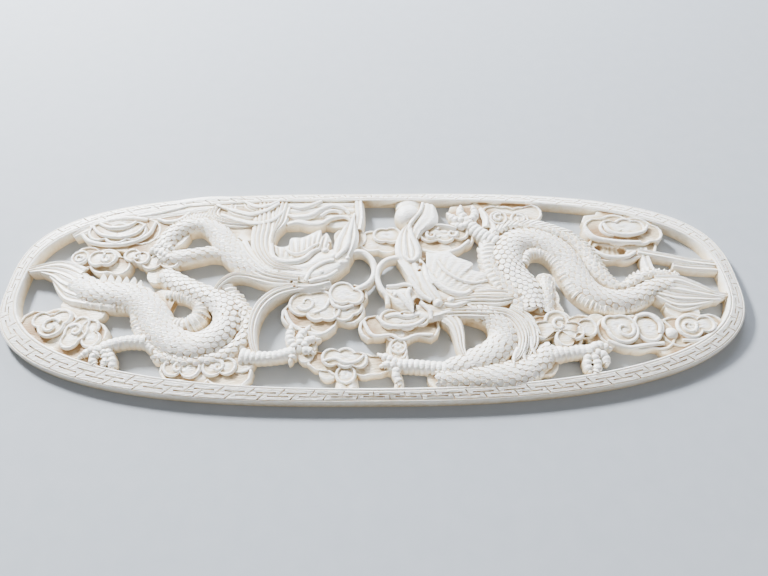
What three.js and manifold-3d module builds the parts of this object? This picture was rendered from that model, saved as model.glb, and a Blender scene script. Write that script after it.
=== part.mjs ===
// A pierced ivory panel, carved and sawn from one thin plate: two dragons face each other
// under a flaming pearl, among terraced clouds, inside an oval border with beads.
// Millimetres, +Z up, lying on its flat back. The origin is the middle of the underside.
import * as THREE from 'three';
import Module from 'manifold-3d';

const wasm = await Module();
wasm.setup();

// The plate and its border
const panelLength = 150;
const panelHeight = 50.5;
const borderThickness = 2.6;
const borderAtSides = 2.7;
const borderAtEnds = 3.5;
const outerEdgeHeight = 1.5;
const beadWidth = 0.6;
const beadDrop = 0.3;
const borderGroove = 0.2;
const borderSteps = 72;
const seamTolerance = 0.07;

// How square the oval is in each quarter, from the upper right round by the left: it was cut by hand
const outerRoundness = [3.2, 3.15, 2.7, 2.5];
const innerRoundness = [2.9, 2.9, 2.45, 2.4];

// The carving: all its places are set out on an opening of this size, then stretched to the real one
const drawnHalfLength = 71.5;
const drawnHalfHeight = 22.55;
const carvingHeight = 4;
const drawnCarvingHeight = 4;
const undercut = 0.8;
const cloudRimWidth = 0.5;
const cloudRimDrop = 0.35;
const cloudDish = 0.45;
const leastReach = 0.3;
const riseOfHeight = 0.6;
const riseOfWidth = 0.9;
const domeArc = [0, 0.45, 0.8];
const spikeThickness = 2.7;
const spikeHalfWidth = 0.7;
const spikeTipHalfWidth = 0.14;
const spikeTipDrop = 0.5;
const spikeLean = Math.PI * 0.36;
const spikeRootShare = 0.5;
const wholeSpike = 9;
const bodyStep = 3.6;
const strandStep = 3.8;
const cloudSectors = 16;
const lowSectors = 14;
const groundHeight = 1.9;
const ivory = { color: 0xe9dfc8, roughness: 0.42, metalness: 0 };

const halfLength = panelLength / 2;
const halfHeight = panelHeight / 2;
const stretchX = (halfLength - borderAtEnds) / drawnHalfLength;
const stretchY = (halfHeight - borderAtSides) / drawnHalfHeight;
const stretchZ = carvingHeight / drawnCarvingHeight;
const stretchWidth = Math.sqrt(stretchX * stretchY);

// The drawing was set out at the border's height, seen from the lower side,
// so a form that stands higher than the border lies a little nearer to that side
const sightSlope = 0.66;
const sightHeight = 2.6;

function place(x, y, top) {
  const lean = sightSlope * (top - sightHeight);
  return [x * stretchX, (y - lean) * stretchY, top * stretchZ];
}

// A closed solid from rings of points: side walls between rings, and flat ends or closed on itself
function solidFromRings(rings, closed) {
  const count = rings[0].length;
  const points = rings.flat(2);
  const triangles = [];
  const last = closed ? rings.length : rings.length - 1;
  for (let i = 0; i < last; i += 1) {
    const here = i * count;
    const next = ((i + 1) % rings.length) * count;
    for (let k = 0; k < count; k += 1) {
      const side = (k + 1) % count;
      triangles.push(here + k, next + side, next + k);
      triangles.push(here + k, here + side, next + side);
    }
  }
  if (!closed) {
    const end = (rings.length - 1) * count;
    for (let k = 1; k < count - 1; k += 1) {
      triangles.push(0, k + 1, k);
      triangles.push(end, end + k, end + k + 1);
    }
  }
  return solid(points, triangles);
}

function solid(points, triangles) {
  const mesh = new wasm.Mesh({
    numProp: 3,
    vertProperties: new Float32Array(points),
    triVerts: new Uint32Array(triangles),
  });
  return new wasm.Manifold(mesh);
}

function smoothStep(rows, at) {
  const index = Math.min(Math.floor(at), rows.length - 2);
  const t = at - index;
  const before = rows[Math.max(index - 1, 0)];
  const from = rows[index];
  const to = rows[index + 1];
  const after = rows[Math.min(index + 2, rows.length - 1)];
  return from.map((value, k) => {
    const a = 2 * value;
    const b = to[k] - before[k];
    const c = 2 * before[k] - 5 * value + 4 * to[k] - after[k];
    const d = 3 * value - before[k] - 3 * to[k] + after[k];
    return (a + b * t + c * t * t + d * t * t * t) / 2;
  });
}

// A rounded limb, strand or ridge along rows of [x, y, top, half width]: a domed top on upright
// sides that go down to the back, or to an undercut
function limb(rows, { sides = 3, stepLength = bodyStep, foot = 0 } = {}) {
  const placed = rows.map(([x, y, top, half]) => [...place(x, y, top), half * stretchWidth]);
  const stops = [0];
  for (let i = 0; i < placed.length - 1; i += 1) {
    const length = Math.hypot(placed[i + 1][0] - placed[i][0], placed[i + 1][1] - placed[i][1]);
    const steps = Math.max(1, Math.round(length / stepLength));
    for (let k = 1; k <= steps; k += 1) {
      stops.push(i + k / steps);
    }
  }
  const line = stops.map((stop) => smoothStep(placed, stop));
  const rings = line.map(([x, y, top, half], i) => {
    const back = line[Math.max(i - 1, 0)];
    const ahead = line[Math.min(i + 1, line.length - 1)];
    const along = Math.atan2(ahead[1] - back[1], ahead[0] - back[0]);
    const across = [-Math.sin(along), Math.cos(along)];
    const rise = Math.min((top - foot) * riseOfHeight, half * riseOfWidth);
    const ring = [];
    for (let k = 0; k <= sides; k += 1) {
      const angle = (Math.PI * k) / sides;
      const reach = half * Math.cos(angle);
      const height = top - rise + rise * Math.sin(angle);
      ring.push([x + across[0] * reach, y + across[1] * reach, height]);
    }
    ring.push([x - across[0] * half, y - across[1] * half, foot]);
    ring.push([x + across[0] * half, y + across[1] * half, foot]);
    return ring;
  });
  return solidFromRings(rings, false);
}

// How far a ray from the middle reaches inside a set of round lobes
function reachOf(lobes, middle, angle) {
  const dx = Math.cos(angle);
  const dy = Math.sin(angle);
  let reach = leastReach;
  for (const [x, y, radius] of lobes) {
    const along = (x - middle[0]) * dx + (y - middle[1]) * dy;
    const aside = (x - middle[0]) * dy - (y - middle[1]) * dx;
    if (Math.abs(aside) < radius) {
      reach = Math.max(reach, along + Math.sqrt(radius * radius - aside * aside));
    }
  }
  return reach;
}

// One terrace of a cloud: an outline of round lobes, a rounded rim and a dished top
function terrace(top, lobes, { sectors = cloudSectors, plain = false } = {}) {
  const middle = [0, 1].map((k) => lobes.reduce((sum, lobe) => sum + lobe[k], 0) / lobes.length);
  const [x, y] = place(...middle, top);
  const rise = plain ? 2 : 3;
  const points = [[x, y, 0], [x, y, (plain ? top : top - cloudDish) * stretchZ]];
  for (let i = 0; i < sectors; i += 1) {
    const angle = (2 * Math.PI * i) / sectors;
    const reach = reachOf(lobes, middle, angle);
    const inside = Math.max(reach - cloudRimWidth, reach * 0.5);
    const edge = plain ? [[reach, top]] : [[reach, top - cloudRimDrop], [inside, top]];
    for (const [distance, height] of [[reach, 0], ...edge]) {
      const across = middle[0] + distance * Math.cos(angle);
      const up = middle[1] + distance * Math.sin(angle);
      points.push([...place(across, up, top).slice(0, 2), height * stretchZ]);
    }
  }
  const triangles = [];
  for (let i = 0; i < sectors; i += 1) {
    const here = 2 + rise * i;
    const next = 2 + rise * ((i + 1) % sectors);
    triangles.push(0, next, here);
    triangles.push(1, here + rise - 1, next + rise - 1);
    for (let k = 0; k < rise - 1; k += 1) {
      triangles.push(here + k, next + k, next + k + 1);
      triangles.push(here + k, next + k + 1, here + k + 1);
    }
  }
  return solid(points.flat(), triangles);
}

const lowTerrace = (top, lobes) => terrace(top, lobes, { sectors: lowSectors, plain: true });

// A round bead with a domed top, such as the pearl or an eye
function dome(x, y, radius, top, sectors = 14) {
  const [cx, cy, height] = place(x, y, top);
  const rise = Math.min(radius, top * riseOfHeight);
  const rings = [];
  for (let i = 0; i < sectors; i += 1) {
    const angle = (2 * Math.PI * i) / sectors;
    rings.push([[0, 1], ...domeArc.map((turn) => [turn, 0])].map(([turn, floor]) => {
      const reach = radius * Math.cos((turn * Math.PI) / 2) * stretchWidth;
      const level = floor ? 0 : height - rise + rise * Math.sin((turn * Math.PI) / 2);
      return [cx + reach * Math.cos(angle), cy + reach * Math.sin(angle), level];
    }));
  }
  const points = [cx, cy, 0, cx, cy, height, ...rings.flat(2)];
  const triangles = [];
  const count = domeArc.length + 1;
  for (let i = 0; i < sectors; i += 1) {
    const here = 2 + count * i;
    const next = 2 + count * ((i + 1) % sectors);
    triangles.push(0, next, here);
    triangles.push(1, here + count - 1, next + count - 1);
    for (let k = 0; k < count - 1; k += 1) {
      triangles.push(here + k, next + k, next + k + 1);
      triangles.push(here + k, next + k + 1, here + k + 1);
    }
  }
  return solid(points, triangles);
}

// A row of backward-pointing spikes along a line of [x, y] points, on its left side
function spikes(line, count, length, top = spikeThickness) {
  const made = [];
  for (let i = 0; i < count; i += 1) {
    const at = ((i + 0.5) / count) * (line.length - 1);
    const here = smoothStep(line, at);
    const ahead = smoothStep(line, Math.min(at + 0.05, line.length - 1));
    const along = Math.atan2(ahead[1] - here[1], ahead[0] - here[0]) + spikeLean;
    const tip = [here[0] + length * Math.cos(along), here[1] + length * Math.sin(along)];
    const root = [0, 1].map((k) => here[k] + spikeRootShare * (here[k] - tip[k]));
    made.push(limb([
      [...root, top, spikeHalfWidth],
      [...tip, top - spikeTipDrop, spikeTipHalfWidth],
    ], { sides: 2, stepLength: wholeSpike }));
  }
  return made;
}

function oval(angle, length, height, roundness) {
  const power = 2 / roundness;
  const c = Math.cos(angle);
  const s = Math.sin(angle);
  return [
    length * Math.sign(c) * Math.abs(c) ** power,
    height * Math.sign(s) * Math.abs(s) ** power,
  ];
}

// The oval border: inner bead, sloping band, outer bead and upright edge
function border() {
  const profile = [
    [1, 0, 0],
    [1, 0, borderThickness - beadDrop],
    [1, -beadWidth / 2, borderThickness],
    [1, -beadWidth, borderThickness - borderGroove],
    [0, beadWidth, outerEdgeHeight + beadDrop + borderGroove],
    [0, beadWidth / 2, outerEdgeHeight + beadDrop],
    [0, 0, outerEdgeHeight],
    [0, 0, 0],
  ];
  const rings = [];
  for (let i = 0; i < borderSteps; i += 1) {
    const angle = (2 * Math.PI * i) / borderSteps;
    const quarter = Math.floor((4 * i) / borderSteps);
    const outer = oval(angle, halfLength, halfHeight, outerRoundness[quarter]);
    const inner = oval(angle, halfLength - borderAtEnds, halfHeight - borderAtSides, innerRoundness[quarter]);
    const width = Math.hypot(outer[0] - inner[0], outer[1] - inner[1]);
    rings.push(profile.map(([from, step, height]) => {
      const share = from + step / width;
      return [
        outer[0] + share * (inner[0] - outer[0]),
        outer[1] + share * (inner[1] - outer[1]),
        height,
      ];
    }));
  }
  return solidFromRings(rings, true);
}

const strand = (rows, options) => limb(rows, { sides: 2, stepLength: strandStep, ...options });
const leg = (rows, options) => limb(rows, { sides: 2, stepLength: strandStep, foot: undercut, ...options });

// The dragon on the left: tail, coil, arch, neck, mane, head and claws
function leftDragonBody() {
  return [
    limb([[-60.5, 1.2, 3.2, 2.9], [-57, -0.7, 3.4, 3.1], [-52, -1.4, 3.5, 3.1],
      [-47.5, -2.3, 3.5, 3.2], [-43.8, -5.6, 3.5, 3.3], [-41, -10, 3.5, 3.4], [-37, -12.9, 3.6, 3.2]]),
    limb([[-38.5, -12, 3.6, 3.1], [-35.2, -13.2, 3.6, 3.2], [-32, -12.6, 3.7, 3.2],
      [-29, -9.8, 3.7, 3.1], [-28.6, -6, 3.6, 3], [-31, -2.4, 3.4, 2.8], [-35, -0.4, 3.2, 2.5],
      [-39, 0.8, 3, 2.3], [-43, 3, 2.8, 2.2]]),
    strand([[-60, -2.6, 2.6, 1], [-56.5, -4, 2.7, 1.1], [-52, -4.6, 2.7, 1.1], [-47.8, -5.2, 2.7, 1.1],
      [-46, -9, 2.7, 1.1], [-43.6, -12.6, 2.7, 1.1], [-40, -15, 2.7, 1.1]]),
    strand([[-41.5, -2, 2.5, 1.2], [-37.5, -2.4, 2.6, 1.3], [-34.2, -4.6, 2.7, 1.5],
      [-34, -7.6, 2.7, 1.6], [-36.8, -9.6, 2.7, 1.4], [-40, -8.8, 2.6, 1.2]]),
    strand([[-41, -15.6, 2.8, 1.2], [-34.5, -16.8, 2.9, 1.4], [-28.5, -15.6, 2.9, 1.6],
      [-24.9, -12, 2.9, 1.8], [-24.9, -7.5, 2.9, 1.4], [-28, -2.4, 2.8, 1]]),
    limb([[-44.5, 8, 2.9, 2.4], [-44.3, 12, 3.1, 2.5], [-41.5, 15.4, 3.2, 2.5],
      [-37.3, 16.4, 3.3, 2.4], [-33.5, 14, 3.4, 2.8], [-30.8, 10.7, 3.5, 3], [-28, 7.6, 3.5, 3],
      [-24.5, 4.8, 3.5, 2.8], [-20, 3.3, 3.4, 2.4]]),
  ];
}

function leftDragonTail() {
  return [
    [[-59.6, 3.6, 3, 1.4], [-63, 5.3, 2.9, 1.2], [-66.5, 5.6, 2.7, 0.9], [-72, 4, 2.5, 0.7]],
    [[-59.5, 1.6, 3.3, 1.6], [-64, 3.6, 3, 1.2], [-67.5, 4.2, 2.8, 0.9], [-71, 3.8, 2.5, 0.6]],
    [[-59, -0.3, 3.2, 1.6], [-63, 1.4, 3, 1.3], [-65.5, 2.9, 2.8, 1], [-68.5, 3.6, 2.6, 0.5]],
    [[-58, -2, 3, 1.5], [-61.5, -0.8, 2.9, 1.3], [-64, 0.9, 2.7, 0.9], [-66.6, 2.6, 2.5, 0.3]],
    [[-57, -3.6, 2.8, 1.3], [-61, -2.8, 2.7, 1.1], [-63.4, -1, 2.5, 0.8], [-65.4, 1, 2.3, 0.2]],
  ].map((rows) => strand(rows));
}

function leftDragonMane() {
  return [
    [[-26, 23, 2.8, 1.6], [-24.9, 18, 3.1, 1.6], [-24.2, 12.8, 3.3, 1.8], [-23.5, 9.6, 3.4, 1.7],
      [-22, 6.8, 3.5, 1.5], [-19.8, 4.9, 3.6, 1.2], [-14.4, 3.7, 3.6, 1]],
    [[-21.2, 21.8, 2.7, 2], [-20.8, 16, 3.1, 1.7], [-21.4, 12.6, 3.1, 0.8], [-21.3, 10, 3.1, 0.4]],
    [[-28.8, 10.6, 3.4, 1.8], [-27.2, 7.9, 3.5, 1.8], [-24.9, 5.2, 3.6, 1.7], [-22.2, 3, 3.6, 1.4],
      [-15.2, 1.6, 3.6, 1.3]],
    [[-16, 0.9, 3.4, 1.1], [-20, 1, 3.4, 1.2], [-23.6, 1.9, 3.3, 1.2], [-28.7, 2.4, 3.1, 0.9],
      [-30.9, 0.8, 3.1, 0.7], [-31.9, -2.4, 3, 0.3]],
    [[-9.8, -0.2, 3.3, 1.2], [-14.6, -0.4, 3.4, 1.2], [-19, -1.6, 3.4, 1.1], [-22, -4.4, 3.3, 1],
      [-23.3, -8.5, 3.2, 0.9], [-23, -12.3, 3.1, 0.8], [-22, -15.6, 3, 0.5]],
    [[-43.5, 14.5, 2.9, 1], [-45.5, 17, 2.8, 0.7], [-48, 18.6, 2.6, 0.4]],
    [[-41, 17, 2.9, 1], [-42.5, 19, 2.8, 0.7], [-44.5, 20.4, 2.6, 0.4]],
    [[-38, 18, 2.9, 1], [-39, 20, 2.8, 0.7], [-40.5, 21.4, 2.6, 0.4]],
    [[-35.2, 21.8, 2.6, 1.6], [-35.4, 18.4, 2.9, 1.5], [-33, 16.5, 3.1, 1.4], [-26, 15.9, 3, 1.1]],
    [[-31.8, 22, 2.6, 1.2], [-31, 19.4, 2.9, 1.2], [-25.3, 18.1, 2.8, 0.9]],
  ].map((rows) => strand(rows));
}

function leftDragonHead() {
  return [
    limb([[-20.5, 8, 3, 1.5], [-16.5, 9, 3.1, 2.6], [-12.5, 10.4, 3.1, 2.8], [-10, 11, 3, 2]]),
    strand([[-21, 7.4, 3.7, 0.7], [-18.5, 6.2, 3.9, 0.8], [-16, 6.2, 3.9, 0.8],
      [-13.5, 7.4, 3.8, 0.7], [-12.2, 8.8, 3.5, 0.4]]),
    limb([[-18, 3.6, 3.6, 2], [-13.5, 3, 4, 2.5], [-10.2, 4.4, 4, 2.2], [-7.4, 7.4, 3.9, 1.9],
      [-5.8, 11, 3.7, 1.7], [-4.7, 14.5, 3.3, 1.2], [-4.2, 18.6, 2.9, 0.4]]),
    strand([[-12.5, 1, 3.6, 1.4], [-10, -0.2, 3.5, 1.3], [-7.5, -0.6, 3.3, 1], [-4.6, -1, 3.1, 0.9]]),
    leg([[-5.4, 8, 3.2, 0.7], [-2.4, 8.4, 3.1, 0.65], [-0.2, 6.2, 3, 0.62], [0.3, 3.2, 3, 0.6],
      [-0.8, 0.6, 3, 0.6], [-3.6, -1.2, 3, 0.6]]),
    ...[[-17.5, 10.6], [-14.4, 12], [-11.4, 13]].map(([x, y]) => strand(
      [[x, y - 1.4, 2.9, 0.9], [x - 0.3, y, 2.8, 0.6], [x + 0.4, y + 1.3, 2.5, 0.15]],
    )),
    dome(-11.2, 4.6, 0.8, 4),
  ];
}

function leftDragonClaws() {
  return [
    leg([[-25, -15.6, 2.9, 1.9], [-21.5, -15.9, 3, 1.2], [-18, -15.7, 3, 1.1], [-14.6, -14.6, 3, 1.3]]),
    dome(-13.9, -13.8, 2, 2.9, 8),
    leg([[-14.6, -14.2, 3, 1], [-15.8, -12.2, 2.9, 0.9], [-15.8, -9.4, 2.6, 0.6]]),
    leg([[-13.8, -13.4, 3, 0.9], [-13.8, -11.6, 2.9, 0.8], [-12.5, -9.6, 2.6, 0.5]]),
    leg([[-13.2, -14, 3, 0.9], [-12, -12.6, 2.9, 0.8], [-10.2, -12.8, 2.6, 0.5]]),
    leg([[-13.2, -14.6, 3, 0.9], [-10.8, -15.3, 2.7, 0.6]]),
    leg([[-15, -15.4, 2.9, 0.8], [-15.3, -17.8, 2.5, 0.25]]),
    leg([[-43.4, -12.2, 3, 1.4], [-47.5, -12.4, 3, 1.1], [-51, -13.6, 3, 1.4], [-52.3, -15.4, 2.9, 1.3],
      [-51.4, -17.8, 2.7, 1.2]]),
    leg([[-51.8, -14.2, 3, 0.9], [-53.4, -14.6, 2.9, 0.8], [-55.6, -16.6, 2.6, 0.4]]),
    leg([[-52, -15.5, 2.9, 0.9], [-50.3, -17.8, 2.8, 0.7], [-48.8, -19.6, 2.6, 0.5]]),
    leg([[-47, 9.2, 3.1, 0.7], [-44.8, 8.8, 3.2, 0.8], [-42, 6.8, 3, 0.5]]),
    ...spikes([[-55, 0.9], [-51, 0.5], [-47.4, -0.6]], 4, 2.2),
    ...spikes([[-30, 0], [-27.4, -2.6], [-24.8, -6.5]], 4, 1.5),
  ];
}

// The dragon on the right: arch, haunch, tail, front coil, mane, head and claws
function rightDragonBody() {
  return [
    limb([[31.5, -5, 3.3, 3.2], [31.2, -1, 3.4, 3.4], [28.8, 3, 3.5, 3.5], [28, 7, 3.6, 3.6],
      [29.5, 10.8, 3.6, 3.4], [33, 12.3, 3.6, 3.1], [36.8, 11, 3.6, 3.1]]),
    limb([[35, 12, 3.6, 3], [38, 10.2, 3.6, 3.1], [40.6, 6.8, 3.6, 3], [41.8, 2.6, 3.5, 3],
      [43.9, -1.4, 3.4, 2.9], [48, -3.4, 3.4, 2.7], [53, -2.6, 3.3, 2.5], [57, -0.5, 3.2, 2.2],
      [60.5, 0, 3, 2]]),
    strand([[32, 15.2, 2.9, 1], [38, 14, 3, 1.2], [42, 11.8, 3.1, 1.4], [44.7, 8.5, 3.2, 1.5],
      [46, 4.4, 3.2, 1.4], [48.1, 0.8, 3.1, 1.2], [50.5, -0.6, 3, 1.1], [53, 0.7, 2.9, 1],
      [56, 2.3, 2.8, 1], [59, 2.6, 2.7, 1], [62.5, 1.8, 2.6, 0.8]]),
    strand([[31.6, 5.6, 2.8, 1], [32.8, 8, 2.9, 1.2], [36, 8.2, 3, 1.3], [38.5, 5.4, 3, 1.3],
      [39.7, 1.2, 2.9, 1.2], [41.3, -2.4, 2.8, 1.2], [44.8, -5, 2.8, 1.2], [49, -5.8, 2.7, 1.1],
      [53.5, -4.6, 2.6, 0.9], [57, -2.2, 2.5, 0.8]]),
    limb([[19, -5.6, 3.3, 2.2], [23.6, -7.2, 3.4, 2.6], [25.6, -11, 3.4, 3.2], [23.6, -14.4, 3.4, 3],
      [19, -16.8, 3.3, 2.7], [14.4, -18.2, 3.2, 2]]),
    limb([[12, -20.4, 3, 1.9], [20, -19.8, 3.2, 2.6], [26.5, -19.2, 3.2, 2.9],
      [31, -17.2, 3.1, 2.6], [34, -14.5, 2.9, 2.2]]),
    limb([[12, -2.5, 3.6, 2.2], [16.5, -3.6, 3.5, 2.5], [21, -5.4, 3.4, 2.3]]),
  ];
}

function rightDragonTail() {
  return [
    [[57.6, 1.2, 3, 1.3], [62, 1.2, 2.9, 1.2], [65.6, -0.4, 2.7, 1], [69, -2.4, 2.5, 0.7],
      [72, -3, 2.4, 0.6]],
    [[57, -0.4, 3, 1.3], [61.5, -0.9, 2.9, 1.3], [65.5, -2, 2.7, 1], [70.5, -3.2, 2.4, 0.6]],
    [[57, -1.8, 2.9, 1.2], [60.5, -3, 2.8, 1.2], [64.5, -3.4, 2.6, 0.9], [69.6, -3.8, 2.4, 0.5]],
    [[57, -2.6, 2.7, 1.1], [60, -4.6, 2.6, 1.1], [63.6, -4.8, 2.5, 0.9], [68, -4.2, 2.3, 0.4]],
  ].map((rows) => strand(rows));
}

function rightDragonMane() {
  return [
    [[13.5, -4.6, 3.6, 1.1], [19.5, -3.6, 3.5, 1.2], [25, -3.8, 3.4, 1.1], [30, -2.2, 3.4, 0.9]],
    [[14, -6.2, 3.4, 1.1], [20, -6, 3.5, 1.1], [25.8, -6.6, 3.5, 1.1], [29, -10.2, 3.4, 1],
      [28.6, -14.5, 3.3, 0.9], [25.8, -17.8, 3, 0.6]],
    [[14.5, -6.8, 3.3, 0.9], [16.6, -10.4, 3.1, 0.8], [16.4, -13.8, 3, 0.8], [17.8, -16.4, 3, 0.6]],
    [[27, -5.2, 3.3, 0.9], [30.6, -8.4, 3.2, 0.9], [31.4, -12.4, 3, 0.7], [29.6, -15.8, 2.9, 0.4]],
  ].map((rows) => strand(rows));
}

function rightDragonHead() {
  return [
    limb([[12.4, 4.2, 3.1, 2], [15.6, 4.2, 3.3, 3], [19, 2.8, 3.2, 2.7], [22.4, 0.6, 3, 1.6]]),
    strand([[12, 3.6, 3.8, 0.7], [13.8, 0.8, 3.9, 0.8], [16, -1.2, 3.8, 0.8], [19, -2, 3.7, 0.7],
      [22.5, -2.6, 3.4, 0.5]]),
    limb([[8.4, 14.6, 2.9, 0.5], [7.8, 11.5, 3.3, 1.3], [8, 8.5, 3.6, 1.8], [9.3, 5.4, 3.8, 1.8],
      [10.2, 2.5, 3.8, 1.6], [10.2, -0.6, 3.8, 1.5]]),
    limb([[15, -2, 3.7, 2.2], [11.5, -2, 4, 2.1], [8.2, -1.9, 3.8, 1.3], [5.6, -1.1, 3.5, 1],
      [4, -0.4, 3.1, 0.5]]),
    strand([[8.2, -1.8, 3.7, 1.3], [7.5, -4.2, 3.5, 0.9], [7.6, -6.4, 3.2, 0.4]]),
    strand([[13, -3.6, 3.6, 1.8], [11.8, -6.2, 3.3, 1.2], [10.4, -8, 3, 0.8]]),
    leg([[7.2, 6.2, 3.2, 0.7], [4.4, 7, 3.1, 0.65], [2.1, 5.4, 3, 0.62], [1.3, 2.4, 3, 0.6],
      [1.6, -1, 3, 0.6], [2.7, -3.6, 2.9, 0.55], [3.6, -6, 2.8, 0.5]]),
    ...[[14.6, 6.6], [18.2, 5.6], [21.6, 3]].map(([x, y]) => strand(
      [[x - 0.3, y - 1.4, 3, 0.9], [x, y, 2.8, 0.6], [x + 1.1, y + 1, 2.5, 0.15]],
    )),
    dome(15.3, -3.6, 0.8, 4),
  ];
}

function rightDragonClaws() {
  return [
    leg([[15, -18.8, 2.9, 1.9], [11.5, -18.2, 3, 1.3], [8, -17.8, 3, 1.2], [4.4, -17.6, 2.9, 1.3]]),
    leg([[5, -17.2, 2.9, 0.9], [3, -16.4, 2.8, 0.8], [1, -15.8, 2.6, 0.4]]),
    leg([[4.4, -17.8, 2.9, 0.9], [1.2, -18.2, 2.6, 0.4]]),
    leg([[4.6, -18, 2.8, 0.9], [4.4, -19.8, 2.7, 0.8], [5.2, -22.4, 2.5, 0.4]]),
    leg([[33, -15.6, 3, 1.6], [38, -14.6, 3, 1.2], [41.6, -14.8, 3, 1.4], [42, -17, 2.9, 1.3],
      [41.4, -20, 2.7, 1.3]]),
    leg([[41.6, -14.8, 3, 0.9], [44.4, -14.6, 2.9, 0.8], [45, -17, 2.6, 0.5]]),
    leg([[25.8, 11.2, 3.2, 1.6], [22.6, 14, 3.2, 1.6], [20, 16.5, 3.1, 1.5], [18, 18.8, 3, 1.2]]),
    leg([[21, 15.8, 3.1, 0.9], [18.4, 15.4, 2.9, 0.8], [17.2, 16.8, 2.7, 0.5]]),
    leg([[22, 14.6, 3.1, 0.9], [23.8, 17, 2.9, 0.9], [23.4, 19.4, 2.7, 0.6]]),
    strand([[27.8, -3.4, 3.1, 1], [25.4, 0.5, 3.2, 1.2], [23.9, 4.9, 3.2, 1.3], [24.2, 9.6, 3.1, 1.5],
      [26, 12.2, 3, 1.2]]),
    ...spikes([[26.6, -3.6], [23.4, 4.6], [24.6, 11], [28.6, 13.8], [33, 15.4]], 8, 2),
    ...spikes([[35, 15.4], [41, 13.6], [44.8, 10.6], [46.8, 6.6], [48, 2.2]], 7, 1.9),
    ...spikes([[52.4, 1], [56, 2.6], [61, 2]], 4, 1.4),
  ];
}

// The clouds: each bank is a low plain terrace with a dished one on it
function clouds() {
  return [
    lowTerrace(2.3, [[-66.4, -8.6, 3], [-62, -9.8, 4.6], [-57, -12, 4.8], [-54, -11.4, 2.8]]),
    terrace(3, [[-62.4, -9, 2.7], [-64.8, -7.8, 1.8], [-60.6, -7.2, 1.8]]),
    terrace(2.9, [[-57.2, -10.4, 2.5], [-56.6, -8.6, 1.7], [-58, -12.4, 1.9]]),
    lowTerrace(2.2, [[-37.3, -18.5, 2.6], [-33, -19.8, 3], [-28, -18.8, 3.3], [-25, -19.6, 2.8]]),
    terrace(2.7, [[-37.4, -18, 2], [-33, -18.4, 2.3], [-28.8, -18, 2]]),
    lowTerrace(2.2, [[-10.5, -17, 2], [-6.5, -18, 2.3], [-1.5, -18, 2.5], [1.8, -17.8, 2.2]]),
    terrace(2.8, [[-8, -16, 1.9], [-4.8, -16.4, 2.3]]),
    lowTerrace(2.3, [[-15.2, -7, 3], [-10, -8.4, 3.1], [-4.6, -6.2, 3.1], [-3.6, -2.6, 2.7]]),
    terrace(3, [[-14, -4.4, 2.7], [-9.3, -6.6, 2.7], [-5.2, -4.6, 2.5], [-9, -3.5, 2.6]]),
    lowTerrace(2.3, [[0, -10, 2.8], [5.2, -10.6, 3], [10.4, -10, 2.8]]),
    terrace(2.9, [[3.4, -8, 2.2], [6.6, -8.3, 2.2], [9.3, -7.7, 2]]),
    lowTerrace(2, [[-0.4, 11.2, 2.9], [3, 11, 3.2]]),
    terrace(2.5, [[1.8, 12.8, 2], [4, 12.8, 2.2]]),
    lowTerrace(2, [[11.6, 11, 3.2], [15.5, 10.8, 3.4], [19, 12, 2.8]]),
    terrace(2.5, [[12, 13, 2.2], [15.4, 13, 2.4], [18.8, 13.4, 1.9]]),
    lowTerrace(2.4, [[-57.5, 14.6, 4], [-53.5, 14.6, 4.4], [-49.5, 14, 3.6]]),
    terrace(3, [[-59, 14.2, 2.6], [-55, 13.6, 3], [-51.4, 14.2, 2.6]]),
    lowTerrace(2.4, [[-60.4, 7.2, 2.9], [-56.2, 6.2, 3.3], [-52.8, 5, 2.4]]),
    terrace(3, [[-61, 7.2, 1.9], [-57.4, 7, 2.1], [-55.4, 7, 1.8]]),
    terrace(2.7, [[-50.5, 8, 2.2], [-46.4, 6.4, 2.6], [-42, 6.6, 2.5], [-38, 8.2, 2.3], [-34.6, 8.4, 1.9]]),
    lowTerrace(2.4, [[32.6, -10.2, 2.8], [36.2, -9.2, 3], [41, -10, 2.8], [37.5, -12.6, 2.8]]),
    terrace(3, [[35.8, -8.6, 2.4], [32.6, -10.6, 2], [39, -10.8, 2]]),
    lowTerrace(2.3, [[46.6, -11, 3.4], [51, -11.4, 4], [55, -11.6, 3.6]]),
    terrace(3, [[47.4, -10, 2.2], [50.6, -10, 2.8], [54.2, -9.6, 2]]),
    lowTerrace(2.3, [[58.8, -11.2, 3.4], [62.5, -10.6, 3.6], [66, -10, 2.8]]),
    terrace(2.9, [[57.8, -10.6, 1.9], [61.6, -9.6, 2.1]]),
    lowTerrace(2.1, [[49, 8.8, 3.4], [53, 9.4, 4], [57, 10, 3.6]]),
    terrace(2.7, [[48.6, 14, 3.2], [52.5, 14, 4.2], [57, 13.6, 3.8], [60, 13, 2.4]]),
    lowTerrace(2.6, [[26, 18.4, 2.5], [29, 17.8, 3], [32.5, 17.4, 3.2], [35, 18.8, 2.4]]),
    terrace(3, [[27.4, 17.4, 2], [32, 17, 2.1]]),
  ];
}

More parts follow.
